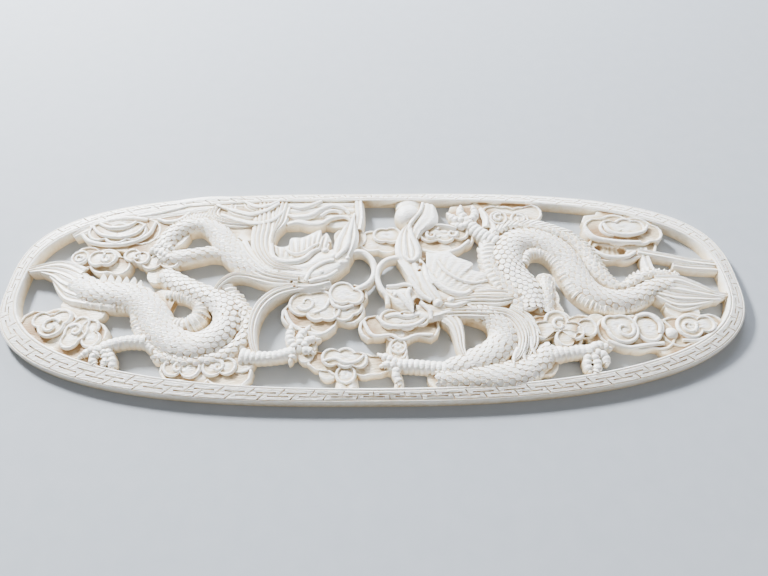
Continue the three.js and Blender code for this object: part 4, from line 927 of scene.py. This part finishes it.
cloudLines = [
    [[-8.4, -2.6, 3, 0.3], [-7.8, -4.6, 3.05, 0.4], [-6, -5.4, 3, 0.4], [-3.8, -4.8, 2.9, 0.35]],
    [[-11.6, -6.6, 2.8, 0.3], [-9.4, -5.4, 2.9, 0.38], [-8.6, -3.2, 2.95, 0.35]],
    [[-9.2, -17, 2.8, 0.3], [-7, -16.4, 2.95, 0.38], [-5, -17.4, 2.95, 0.38], [-2.8, -17, 2.9, 0.35],
     [-1.6, -15.9, 2.8, 0.3]],
    [[0.8, -7.4, 3, 0.3], [2.6, -9.2, 3.1, 0.42], [5.4, -9.6, 3.1, 0.45], [8.4, -9.2, 3.1, 0.42],
     [10.8, -7.4, 3, 0.35]],
    [[2.4, -7.6, 3, 0.4], [4.4, -7, 3.1, 0.6], [7, -7.4, 3.1, 0.6], [9.4, -6.8, 3.1, 0.4]],
    [[-60.8, 15.6, 3.2, 0.3], [-58.6, 13.4, 3.3, 0.4], [-54.5, 12.6, 3.3, 0.42],
     [-51, 13.6, 3.3, 0.4], [-49.4, 16, 3.2, 0.3]],
    [[-59.6, 16.4, 3.2, 0.35], [-57, 15.2, 3.4, 0.5], [-53.5, 15.4, 3.4, 0.5], [-51.6, 16.8, 3.2, 0.3]],
    [[-62.8, 13.4, 2.8, 0.4], [-60.4, 11.4, 2.9, 0.5], [-56, 10.6, 2.9, 0.5], [-51.6, 11.2, 2.9, 0.5],
     [-48.4, 13.4, 2.9, 0.45], [-47.6, 16.6, 2.8, 0.3]],
    [[50, 15.6, 3.2, 0.4], [51, 13.4, 3.3, 0.5], [54.4, 12.6, 3.3, 0.5], [58, 13.4, 3.2, 0.4],
     [59.4, 15, 3.1, 0.3]],
    [[45.8, 15, 2.9, 0.4], [47.4, 12, 3, 0.45], [52, 10.8, 3, 0.45], [57, 10.6, 2.9, 0.4]],
    [[46.2, 9, 2.5, 0.4], [49, 7, 2.6, 0.5], [53, 6.8, 2.6, 0.5], [55.4, 8, 2.5, 0.4]],
    [[10.4, 8.8, 2.3, 0.4], [14, 7.9, 2.4, 0.5], [18, 9, 2.4, 0.5], [20.6, 11.2, 2.3, 0.4]],
    [[-17.4, -6, 2.6, 0.35], [-15.4, -9.4, 2.7, 0.4], [-10.4, -11.4, 2.7, 0.4], [-7.4, -9.6, 2.6, 0.35]],
    [[-1.8, -8.4, 2.6, 0.35], [0, -11.6, 2.7, 0.4], [3.6, -11.6, 2.7, 0.35], [5.6, -12.6, 2.7, 0.4],
     [8.6, -11.6, 2.6, 0.35], [11.6, -11.6, 2.6, 0.35]],
    [[45, -13, 2.6, 0.35], [48.6, -14.4, 2.7, 0.4], [52, -14, 2.7, 0.4], [55.6, -13.6, 2.6, 0.35]],
    [[51.6, -7.6, 2.95, 0.35], [54, -7.3, 3, 0.4], [55.7, -9.2, 3, 0.4], [55.2, -11.4, 2.95, 0.35]],
    [[59.4, -13, 2.5, 0.3], [62.4, -13, 2.6, 0.4], [65.4, -11.6, 2.5, 0.35], [67, -9.4, 2.4, 0.25]],
]
banks = [
    (5, 0.14, [[-22.4, 15.6, -22.4, 24, 2.3], [-18, 15.3, -18, 24, 2.2], [-14, 15.6, -14, 24, 2.2],
               [-10.4, 15.4, -10.4, 24, 2.2], [-7.6, 15, -7.6, 24, 2.2], [-2.8, 16, -2.8, 24, 2.2]]),
    (3, 0.1, [[-64.4, 12.4, -65.4, 13.6, 2.4], [-62, 13.6, -63.4, 16.6, 2.5], [-58, 15.6, -59, 19.4, 2.5],
              [-52, 17, -52.6, 21, 2.5], [-46, 18, -46.4, 22.4, 2.5], [-38, 19.6, -38, 24, 2.5],
              [-30, 20.6, -30, 24, 2.4], [-24, 21, -24, 24, 2.4]]),
]
bankRidges = [
    [[-18.8, 15.9, 2.5, 0.5], [-16.4, 16.6, 2.8, 0.75], [-13.6, 16, 2.9, 0.8], [-11.2, 16.2, 2.9, 0.7],
     [-9.2, 17.6, 2.9, 0.6], [-6.6, 18, 2.8, 0.45], [-5, 17, 2.6, 0.3]],
    [[-19.2, 18.6, 2.5, 0.4], [-16.6, 18, 2.8, 0.7], [-13.6, 18.6, 2.9, 0.8], [-11.6, 20.2, 2.9, 0.7],
     [-9, 21.2, 2.8, 0.55], [-6.6, 20.4, 2.8, 0.5], [-5.4, 18.8, 2.6, 0.3]],
    [[-19, 21.4, 2.5, 0.4], [-16.4, 20.6, 2.7, 0.6], [-13.8, 21.4, 2.8, 0.6], [-11.6, 22.6, 2.6, 0.4]],
    [[-11.6, 18.2, 2.7, 0.4], [-9.9, 19.6, 2.7, 0.45], [-8, 19.6, 2.7, 0.4], [-7.2, 18.8, 2.6, 0.25]],
    [[-40.6, 19.4, 2.6, 0.4], [-42.4, 17.4, 2.8, 0.55], [-45, 16.8, 2.8, 0.5], [-47.4, 17.6, 2.7, 0.4]],
    [[-52, 18.4, 2.7, 0.5], [-48, 19.2, 2.8, 0.6], [-44, 20.4, 2.8, 0.55], [-40.6, 21.6, 2.6, 0.35]],
    [[-61.6, 15.4, 2.7, 0.45], [-58, 17.2, 2.8, 0.6], [-53.6, 18, 2.8, 0.6], [-49.6, 17.4, 2.7, 0.4]],
]
ties = [
    [[-3.4, 14.5, 2.8, 1.2], [-3, 18, 2.8, 1.2], [-3.4, 23, 2.5, 1.2]],
    [[-5, -17.6, 2.2, 2.3], [-4.8, -20, 2.1, 2], [-4.6, -23.6, 2.1, 2.4]],
    [[5.2, -10, 2.3, 2.4], [4.7, -13, 2.2, 2.1], [4.5, -16, 2.2, 1.9], [4.3, -18.4, 2.2, 1.5]],
    [[4.2, -19, 2.2, 0.8], [5, -21, 2.1, 0.8], [4.8, -23.6, 2.1, 1.1]],
    [[56, 8.2, 2.4, 1], [62, 6.8, 2.4, 1], [66, 5.7, 2.4, 1], [72, 4.8, 2.4, 1.1]],
    [[62.6, 4.6, 2.2, 0.7], [66, 4, 2.2, 0.9], [72, 3.6, 2.2, 1]],
    [[57.4, 9, 2.2, 1.4], [57.4, 5.6, 2.2, 1.3], [57.6, 1.8, 2.4, 1.4]],
]


def makeClouds():
    for top, lobes in lowClouds:
        lowTerrace(top, lobes)
    for top, lobes in highClouds:
        terrace(top, lobes)
    for top, lobes in grounds:
        groundPlate(top, lobes)
    for x, y, radius, top, start, way in scrolls:
        scroll(x, y, radius, top, start, way)
    for rows in cloudLines:
        stroke(rows)
    for lines, depth, stations in banks:
        sheet(stations, lines, depth=depth, crown=0.2)
    for rows in bankRidges:
        stroke(rows)
    for rows in ties:
        strand(rows)
    dome(57.7, -11.2, 1.4, 2.95, 20)
    # the shell scooped out under the cloud at the upper right
    for x, y, radius in [(48.2, 7.9, 1.25), (49.2, 7.5, 1.45), (50.4, 7.2, 1.5), (51.6, 7.2, 1.45),
                         (52.7, 7.4, 1.25)]:
        hollow(x, y, 0.7, radius)
    # fish-scale tiers on the stem of the middle cloud
    for step, (top, y) in enumerate([(2.3, -16.4), (2.42, -15.2), (2.54, -14)]):
        lowTerrace(top, [[4.9, y, 1.9 - 0.1 * step]], "cloud")
    lowTerrace(2.4, [[-4.9, -19.8, 2]], "cloud")


def makePearl():
    dome(7.7, 19.2, 3, 3.9, 48)
    stroke([[7.6, 20.4, 2.5, 2.6], [8, 23.6, 2.4, 3.4]])
    # the flame that wraps it from below
    sheet([[8, 12, 9.8, 12, 3], [8.2, 14.2, 11, 13.8, 3.1], [9, 16.4, 12.8, 15, 3.2],
           [10, 18.4, 14, 16.4, 3.2], [10.8, 20.2, 14.2, 18.4, 3], [11.4, 22, 13.8, 21, 2.7]], 2, depth=0.1)
    stroke([[8, 12.6, 3.3, 0.4], [7.8, 15, 3.4, 0.45], [9, 17.4, 3.5, 0.5], [10.4, 19.4, 3.4, 0.45],
            [11, 21.8, 2.9, 0.35]])


makeClouds()
makePearl()
makeBorder()
cutFret()
print("clouds and border laid out:", len(parts), "forms and", len(bedPoints), "small shapes")


# Shapes that repeat: each has a few dozen faces, a length along +X and its outside towards +Z

def scaleShape():
    # lifted at the back edge, and wider towards the front
    s = {"corners": 6, "length": 0.7, "width": 0.62, "widen": 0.12, "sink": 0.24, "footShare": 0.9,
         "backLift": 0.19, "crown": 0.2, "crownBack": 0.08}
    points = []
    for i in range(s["corners"]):
        angle = 2 * math.pi * i / s["corners"]
        x = s["length"] * math.cos(angle)
        y = s["width"] * math.sin(angle) * (1 + s["widen"] * math.cos(angle))
        lift = s["backLift"] * (1 - math.cos(angle)) / 2
        points += [(x * s["footShare"], y * s["footShare"], -s["sink"]), (x, y, lift)]
    foot = len(points)
    points += [(0, 0, -s["sink"]), (-s["crownBack"], 0, s["crown"])]
    faces = []
    for a in range(0, foot, 2):
        b = (a + 2) % foot
        faces += [(a, b, b + 1, a + 1), (foot, b, a), (foot + 1, a + 1, b + 1)]
    return closedForm("scaleShape", points, faces)


def spineShape():
    # a thin blade that leans backwards, sunk into the body at its root: along, half width, drop
    s = {"outline": [(-0.5, 0.34, 0), (0.3, 0.3, 0), (0.75, 0.17, -0.12), (1, 0.03, -0.35)],
         "root": -1.2, "shoulder": 0.3}
    points = []
    for x, half, drop in s["outline"]:
        side = drop - s["shoulder"]
        points += [(x, -half, s["root"]), (x, -half, side), (x, 0, drop), (x, half, side),
                   (x, half, s["root"])]
    return closedForm("spineShape", points, endedRings(len(s["outline"]), 5))


def ribShape():
    # half a ring that swells in the middle: along, radius
    s = {"outline": [(-0.34, 0.9), (-0.1, 1.1), (0.26, 0.98)], "sides": 8, "height": 0.92,
         "footHalf": 0.9, "foot": -0.42}
    points = []
    for x, radius in s["outline"]:
        for k in range(s["sides"] + 1):
            turn = math.pi * k / s["sides"]
            points.append((x, radius * math.cos(turn), s["height"] * radius * math.sin(turn)))
        points += [(x, -s["footHalf"], s["foot"]), (x, s["footHalf"], s["foot"])]
    return closedForm("ribShape", points, endedRings(len(s["outline"]), s["sides"] + 3))


def fretShape():
    # a thin box, which the bed stretches to the length of each cut
    reach = (1, borderSizes["fretWidth"], 2 * borderSizes["fretDepth"])
    points = [(sx * reach[0] / 2, sy * reach[1] / 2, sz * reach[2] / 2)
              for sx in (-1, 1) for sy in (-1, 1) for sz in (-1, 1)]
    faces = [(0, 1, 3, 2), (4, 6, 7, 5), (0, 4, 5, 1), (2, 3, 7, 6), (0, 2, 6, 4), (1, 5, 7, 3)]
    return closedForm("fretShape", points, faces)


def hollowShape():
    # a ball with a pointed top, so that it always opens upwards
    s = {"sides": 8, "levels": (-0.6, 0, 0.6), "mouth": 1.5}
    sides = s["sides"]
    points = [(0, 0, -1)]
    for level in s["levels"]:
        reach = math.sqrt(1 - level * level)
        for k in range(sides):
            angle = 2 * math.pi * k / sides
            points.append((reach * math.cos(angle), reach * math.sin(angle), level))
    points.append((0, 0, s["mouth"]))
    faces = []
    for k in range(sides):
        ahead = (k + 1) % sides
        faces.append((0, 1 + k, 1 + ahead))
    for row in (1, 1 + sides):
        for k in range(sides):
            ahead = (k + 1) % sides
            faces.append((row + k, row + sides + k, row + sides + ahead, row + ahead))
    last = 1 + 2 * sides
    for k in range(sides):
        faces.append((last + sides, last + (k + 1) % sides, last + k))
    return closedForm("hollowShape", points, faces)


def bedObject(kind):
    beds = [bed for bed in bedPoints if bed[0] == kind]
    mesh = bpy.data.meshes.new(kind + "Bed")
    mesh.from_pydata([tuple(bed[1]) for bed in beds], [], [])
    for name, index in (("along", 2), ("outward", 3)):
        store = mesh.attributes.new(name, "FLOAT_VECTOR", "POINT")
        store.data.foreach_set("vector", [value for bed in beds for value in bed[index]])
    store = mesh.attributes.new("size", "FLOAT", "POINT")
    store.data.foreach_set("value", [bed[4] for bed in beds])
    return bpy.data.objects.new(kind + "Bed", mesh)


# The node tree that sets the repeated shapes and joins everything

def addNode(tree, kind, settings=None, inputs=None):
    node = tree.nodes.new(kind)
    for name, value in (settings or {}).items():
        setattr(node, name, value)
    for key, value in (inputs or {}).items():
        if isinstance(value, bpy.types.NodeSocket):
            tree.links.new(value, node.inputs[key])
        else:
            node.inputs[key].default_value = value
    return node


def pointValue(tree, name, kind="FLOAT_VECTOR"):
    stored = addNode(tree, "GeometryNodeInputNamedAttribute", {"data_type": kind}, {"Name": name})
    return stored.outputs["Attribute"]


# The small shapes that the node tree places

smallShapes = {
    # what makes it, the axis that follows its direction exactly, the axes that its size stretches,
    # and whether that size is a little uneven
    "scale": (scaleShape, "Z", "XY", True),
    "spine": (spineShape, "Z", "XY", True),
    "rib": (ribShape, "Z", "YZ", True),
    "fret": (fretShape, "X", "X", False),
    "hollow": (hollowShape, "Z", "XY", True),
}


def placedCopies(tree, group, kind):
    lead, stretched, uneven = smallShapes[kind][1:]
    follow = "X" if lead == "Z" else "Z"
    bed = addNode(tree, "GeometryNodeObjectInfo", {}, {"Object": group.outputs[kind + " bed"]})
    shape = addNode(tree, "GeometryNodeObjectInfo", {}, {"Object": group.outputs[kind + " shape"]})
    direction = {"X": pointValue(tree, "along"), "Z": pointValue(tree, "outward")}
    turn = addNode(tree, "FunctionNodeAxesToRotation", {"primary_axis": lead, "secondary_axis": follow},
                   {0: direction[lead], 1: direction[follow]})
    size = pointValue(tree, "size", "FLOAT")
    if uneven:
        spread = group.outputs["Unevenness"]
        low = addNode(tree, "ShaderNodeMath", {"operation": "SUBTRACT"}, {0: 1.0, 1: spread})
        high = addNode(tree, "ShaderNodeMath", {"operation": "ADD"}, {0: 1.0, 1: spread})
        chance = addNode(tree, "FunctionNodeRandomValue", {"data_type": "FLOAT"},
                         {"Seed": group.outputs["Seed"], 2: low.outputs[0], 3: high.outputs[0]})
        product = addNode(tree, "ShaderNodeMath", {"operation": "MULTIPLY"}, {0: size, 1: chance.outputs[1]})
        size = product.outputs[0]
    scale = addNode(tree, "ShaderNodeCombineXYZ", {},
                    {axis: size if axis in stretched else 1.0 for axis in "XYZ"})
    return addNode(tree, "GeometryNodeInstanceOnPoints", {}, {
        "Points": bed.outputs["Geometry"], "Instance": shape.outputs["Geometry"],
        "Rotation": turn.outputs[0], "Scale": scale.outputs[0]})


def carvingTree(material):
    tree = bpy.data.node_groups.new("joinCarving", "GeometryNodeTree")
    tree.interface.new_socket("Geometry", in_out="OUTPUT", socket_type="NodeSocketGeometry")
    inputs = [("Forms", "NodeSocketCollection"), ("Unevenness", "NodeSocketFloat"), ("Seed", "NodeSocketInt")]
    for kind in smallShapes:
        inputs += [(kind + " bed", "NodeSocketObject"), (kind + " shape", "NodeSocketObject")]
    for name, socket in inputs:
        tree.interface.new_socket(name, in_out="INPUT", socket_type=socket)
    group = addNode(tree, "NodeGroupInput")
    sources = {kind: placedCopies(tree, group, kind) for kind in smallShapes}
    sources["forms"] = addNode(tree, "GeometryNodeCollectionInfo", {},
                               {"Collection": group.outputs["Forms"], "Separate Children": True})
    join = addNode(tree, "GeometryNodeMeshBoolean", {"operation": "UNION", "solver": "MANIFOLD"})
    for kind in ("rib", "spine", "scale", "forms"):
        tree.links.new(sources[kind].outputs[0], join.inputs[1])
    carve = addNode(tree, "GeometryNodeMeshBoolean", {"operation": "DIFFERENCE", "solver": "MANIFOLD"})
    tree.links.new(join.outputs[0], carve.inputs[0])
    for kind in ("fret", "hollow"):
        tree.links.new(sources[kind].outputs[0], carve.inputs[1])
    metres = addNode(tree, "GeometryNodeTransform", {}, {"Geometry": carve.outputs[0], "Scale": (mm, mm, mm)})
    real = addNode(tree, "GeometryNodeRealizeInstances", {}, {"Geometry": metres.outputs[0]})
    finish = addNode(tree, "GeometryNodeSetMaterial", {}, {"Geometry": real.outputs[0], "Material": material})
    out = addNode(tree, "NodeGroupOutput")
    tree.links.new(finish.outputs[0], out.inputs[0])
    return tree


# Ivory

def toLinear(hexColour):
    channels = [int(hexColour[i:i + 2], 16) / 255 for i in (1, 3, 5)]
    return tuple(c / 12.92 if c < 0.04045 else ((c + 0.055) / 1.055) ** 2.4 for c in channels) + (1,)


ivorySizes = {
    # from 0 on the tops to 1 in the cuts
    "tones": [
        (0.12, "#FCFAF4"),      # the tops: worn pale, and lightened further as a painted highlight
        (0.28, "#F4ECDB"),      # the body of the ivory
        (0.55, "#DECCAB"),      # the lower planes, darkened as painted shade
        (1.0, "#9A7A52"),       # old wax and dust in the cuts, deepened with painted shade
    ],
    # size in mm and amount: the slow changes of tone, and small uneven specks
    "patches": [(14, 0.3), (1.1, 0.36)],
    "polish": 0.3,              # roughness on the tops
    "dull": 0.62,               # and in the cuts
    "toolMark": 0.28,           # mm, the scraper's marks
    "toolStretch": 3.0,         # the marks run along the panel
    "toolDepth": 0.17,          # mm
    "noiseDetail": 3.0,
    "glow": 0.12,               # the share of light that goes under the surface
    "glowColour": (1.0, 0.72, 0.5),
    "glowDepth": 0.3,           # mm
}


def carvedIvory():
    # Old carved and hand-polished ivory: a soft, slightly see-through white with a low gloss on the
    # tops, fine tool marks, and warm brown where wax and dust have settled. The colour also holds painted
    # light: paler on the tops as a painted highlight, and darker down in the cuts and folds as painted shade
    s = ivorySizes
    material = bpy.data.materials.new("carvedPolishedIvory")
    material.use_nodes = True
    tree = material.node_tree
    shader = tree.nodes["Principled BSDF"]
    spot = addNode(tree, "ShaderNodeTexCoord")
    # this value drives the colour: dust in the cuts, plus painted shade that darkens every cut and fold
    dustAndShade = addNode(tree, "ShaderNodeAttribute", {"attribute_name": "dustAndShade"})
    swings = []
    for size, amount in s["patches"]:
        patch = addNode(tree, "ShaderNodeTexNoise", {}, {
            "Vector": spot.outputs["Object"], "Scale": 1 / (size * mm), "Detail": s["noiseDetail"]})
        swings.append(addNode(tree, "ShaderNodeMath", {"operation": "MULTIPLY_ADD"},
                              {0: patch.outputs["Fac"], 1: amount, 2: -amount / 2}))
    uneven = addNode(tree, "ShaderNodeMath", {"operation": "ADD"},
                     {0: swings[0].outputs[0], 1: swings[1].outputs[0]})
    depth = addNode(tree, "ShaderNodeMath", {"operation": "ADD"},
                    {0: dustAndShade.outputs["Fac"], 1: uneven.outputs[0]})
    tone = addNode(tree, "ShaderNodeValToRGB", {}, {"Fac": depth.outputs[0]})
    ramp = tone.color_ramp.elements
    for element, (position, colour) in zip(ramp, (s["tones"][0], s["tones"][-1])):
        element.position = position
        element.color = toLinear(colour)
    for position, colour in s["tones"][1:-1]:
        ramp.new(position).color = toLinear(colour)
    tree.links.new(tone.outputs["Color"], shader.inputs["Base Color"])
    gloss = addNode(tree, "ShaderNodeMapRange", {},
                    {"Value": dustAndShade.outputs["Fac"], "To Min": s["polish"], "To Max": s["dull"]})
    tree.links.new(gloss.outputs[0], shader.inputs["Roughness"])
    drawn = addNode(tree, "ShaderNodeMapping", {},
                    {"Vector": spot.outputs["Object"], "Scale": (1 / s["toolStretch"], 1, 1)})
    grain = addNode(tree, "ShaderNodeTexNoise", {}, {
        "Vector": drawn.outputs[0], "Scale": 1 / (s["toolMark"] * mm), "Detail": s["noiseDetail"]})
    marks = addNode(tree, "ShaderNodeBump", {}, {
        "Height": grain.outputs["Fac"], "Strength": 1.0, "Distance": s["toolDepth"] * mm})
    tree.links.new(marks.outputs[0], shader.inputs["Normal"])
    shader.inputs["IOR"].default_value = 1.54
    shader.inputs["Subsurface Weight"].default_value = s["glow"]
    shader.inputs["Subsurface Radius"].default_value = s["glowColour"]
    shader.inputs["Subsurface Scale"].default_value = s["glowDepth"] * mm
    return material


# The piece

def modifierInput(modifier, name, value):
    for item in modifier.node_group.interface.items_tree:
        if item.item_type == "SOCKET" and item.in_out == "INPUT" and item.name == name:
            modifier[item.identifier] = value


def blurred(grid, reach):
    for axis in (0, 1):
        for _ in range(2):
            total = np.zeros_like(grid)
            for shift in range(-reach, reach + 1):
                total += np.roll(grid, shift, axis)
            grid = total / (2 * reach + 1)
    return grid


def markRecesses(mesh):
    # 0 on the tops to 1 in the cuts: how far a point lies below what stands around it, and how
    # sharply the surface folds in at it. The colour uses this for dust in the cuts and for painted shade in
    # every recess and fold
    s = {
        "cell": 0.25, "reach": 3,       # the surroundings are averaged on a grid over this many cells
        "margin": 2, "spareCells": 9,   # empty room round the panel
        "leastHeight": 0.9,             # what stands lower doesn't count as surroundings
        "leastKnown": 0.02,
        "depth": 1.8, "floor": 0.3,
        "leastLength": 0.08,
        "foldSmooth": 1, "foldGain": 3.2,
        "heightShare": 0.66, "foldShare": 1.0,
    }
    count = len(mesh.vertices)
    spots = np.zeros(count * 3)
    mesh.vertices.foreach_get("co", spots)
    spots = spots.reshape(-1, 3) / mm
    low = spots[:, :2].min(0) - s["margin"]
    index = ((spots[:, :2] - low) / s["cell"]).astype(int)
    size = index.max(0) + s["spareCells"]
    heights = np.zeros(size)
    np.maximum.at(heights, (index[:, 0], index[:, 1]), spots[:, 2])
    known = (heights > s["leastHeight"]).astype(float)
    around = blurred(heights * known, s["reach"]) / np.maximum(blurred(known, s["reach"]), s["leastKnown"])
    below = np.clip((around[index[:, 0], index[:, 1]] - spots[:, 2] + s["floor"]) / s["depth"], 0, 1)
    edges = np.zeros(len(mesh.edges) * 2, int)
    mesh.edges.foreach_get("vertices", edges)
    edges = edges.reshape(-1, 2)
    normals = np.zeros(count * 3)
    mesh.vertices.foreach_get("normal", normals)
    normals = normals.reshape(-1, 3)
    step = spots[edges[:, 1]] - spots[edges[:, 0]]
    length = np.maximum(np.linalg.norm(step, axis=1), s["leastLength"])
    fold = np.zeros(count)
    links = np.maximum(np.bincount(edges.ravel(), minlength=count), 1)
    np.add.at(fold, edges[:, 0], (step * normals[edges[:, 0]]).sum(1) / length)
    np.add.at(fold, edges[:, 1], -(step * normals[edges[:, 1]]).sum(1) / length)
    fold /= links
    for _ in range(s["foldSmooth"]):
        total = np.zeros(count)
        np.add.at(total, edges[:, 0], fold[edges[:, 1]])
        np.add.at(total, edges[:, 1], fold[edges[:, 0]])
        fold = (fold + total / links) / 2
    fold = np.clip(fold * s["foldGain"], 0, 1)
    # the mask of dust and painted shade: lower and more sharply folded points are painted darker
    dustAndShade = np.clip(s["heightShare"] * below + s["foldShare"] * fold, 0, 1)
    store = mesh.attributes.new("dustAndShade", "FLOAT", "POINT")
    store.data.foreach_set("value", dustAndShade.astype(np.float32))


meshShare = 0.75        # of the joined triangles are kept
panelSizes = {
    "unevenness": 0.08,     # how much scales, spines, ribs and hollows differ in size, as a share
    "seed": 7,
    "sharpAngle": 38,       # degrees; edges that bend more than this are drawn sharp
}


def makePanel():
    material = carvedIvory()
    forms = bpy.data.collections.new("forms")
    for part in parts:
        forms.objects.link(part)
    tree = carvingTree(material)
    panel = bpy.data.objects.new("carved_ivory_panel", bpy.data.meshes.new("carved_ivory_panel"))
    bpy.context.scene.collection.objects.link(panel)
    modifier = panel.modifiers.new("join", "NODES")
    modifier.node_group = tree
    values = {"Forms": forms, "Unevenness": panelSizes["unevenness"], "Seed": panelSizes["seed"]}
    for kind in smallShapes:
        values[kind + " bed"] = bedObject(kind)
        values[kind + " shape"] = smallShapes[kind][0]()
    for name, value in values.items():
        modifierInput(modifier, name, value)
    # joining leaves many small triangles on the flat back and the walls, and this merges them
    thinning = panel.modifiers.new("thin", "DECIMATE")
    thinning.ratio = meshShare
    thinning.use_collapse_triangulate = True
    bpy.context.view_layer.update()
    evaluated = panel.evaluated_get(bpy.context.evaluated_depsgraph_get())
    mesh = bpy.data.meshes.new_from_object(evaluated)
    panel.modifiers.clear()
    panel.data = mesh
    for value in values.values():
        if isinstance(value, bpy.types.Object):
            bpy.data.objects.remove(value)
    for part in parts:
        bpy.data.objects.remove(part)
    bpy.data.collections.remove(forms)
    markRecesses(mesh)
    mesh.shade_smooth()
    mesh.set_sharp_from_angle(angle=math.radians(panelSizes["sharpAngle"]))
    triangles = sum(len(face.vertices) - 2 for face in mesh.polygons)
    print("panel:", triangles, "triangles,", len(mesh.vertices), "points")
    return panel


panel = makePanel()
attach(panel, "root")
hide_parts("carved_panel")


# Floor, lights and camera

studio = {
    "floorSize": 3.0, "floorColours": ("#9CA2A9", "#A5AAB0"), "floorRoughness": 0.8,
    "fibreScale": 900.0, "fibreDetail": 2.0,
    # place, size, power and colour
    "lamps": {
        "key": ((-0.3, 0.4, 0.28), 0.1, 18.0, "#F8FBFF"),
        "fill": ((0.35, -0.25, 0.4), 0.4, 0.7, "#FFF4E6"),
        "rim": ((0.1, 0.45, 0.2), 0.25, 4.2, "#EAF2FF"),
    },
    "sky": 0.42, "skyColour": "#EEF1F5",
    "cameraHeightAngle": 57.0, "cameraRoll": -0.289, "cameraPlace": (0.00226, -0.06451, 0.10046),
    "focalPixels": 577.0, "pictureWidth": 768, "sensor": 36.0, "clipStart": 0.005,
}


def paleFloor():
    # plain matt paper, a quiet bluish grey with the faintest fibre
    material = bpy.data.materials.new("palePaper")
    material.use_nodes = True
    tree = material.node_tree
    shader = tree.nodes["Principled BSDF"]
    shader.inputs["Roughness"].default_value = studio["floorRoughness"]
    fibre = addNode(tree, "ShaderNodeTexNoise", {},
                    {"Scale": studio["fibreScale"], "Detail": studio["fibreDetail"]})
    tone = addNode(tree, "ShaderNodeMix", {"data_type": "RGBA"}, {"Factor": fibre.outputs["Fac"]})
    for socket, colour in zip((6, 7), studio["floorColours"]):
        tone.inputs[socket].default_value = toLinear(colour)
    tree.links.new(tone.outputs[2], shader.inputs["Base Color"])
    half = studio["floorSize"] / 2
    mesh = bpy.data.meshes.new("floor")
    corners = [(-half, -half, 0), (half, -half, 0), (half, half, 0), (-half, half, 0)]
    mesh.from_pydata(corners, [], [(0, 1, 2, 3)])
    mesh.materials.append(material)
    floor = bpy.data.objects.new("floor", mesh)
    bpy.context.scene.collection.objects.link(floor)


def softLight(name, spot, size, power, colour):
    light = bpy.data.lights.new(name, "AREA")
    light.shape = "DISK"
    light.size = size
    light.energy = power
    light.color = toLinear(colour)[:3]
    lamp = bpy.data.objects.new(name, light)
    lamp.location = spot
    lamp.rotation_euler = (-Vector(spot)).to_track_quat("-Z", "Y").to_euler()
    bpy.context.scene.collection.objects.link(lamp)


def studioLight():
    for name, lamp in studio["lamps"].items():
        softLight(name, *lamp)
    world = bpy.data.worlds.new("softSky")
    world.use_nodes = True
    sky = world.node_tree.nodes["Background"]
    sky.inputs[0].default_value = toLinear(studio["skyColour"])
    sky.inputs[1].default_value = studio["sky"]
    bpy.context.scene.world = world


def photoCamera():
    camera = bpy.data.cameras.new("camera")
    camera.sensor_width = studio["sensor"]
    camera.lens = studio["focalPixels"] / studio["pictureWidth"] * studio["sensor"]
    camera.clip_start = studio["clipStart"]
    holder = bpy.data.objects.new("camera", camera)
    tilt = Matrix.Rotation(math.radians(90 - studio["cameraHeightAngle"]), 4, "X")
    roll = Matrix.Rotation(math.radians(studio["cameraRoll"]), 4, "Z")
    holder.matrix_world = Matrix.Translation(studio["cameraPlace"]) @ tilt @ roll
    bpy.context.scene.collection.objects.link(holder)
    bpy.context.scene.camera = holder


paleFloor()
studioLight()
photoCamera()
print("studio ready")
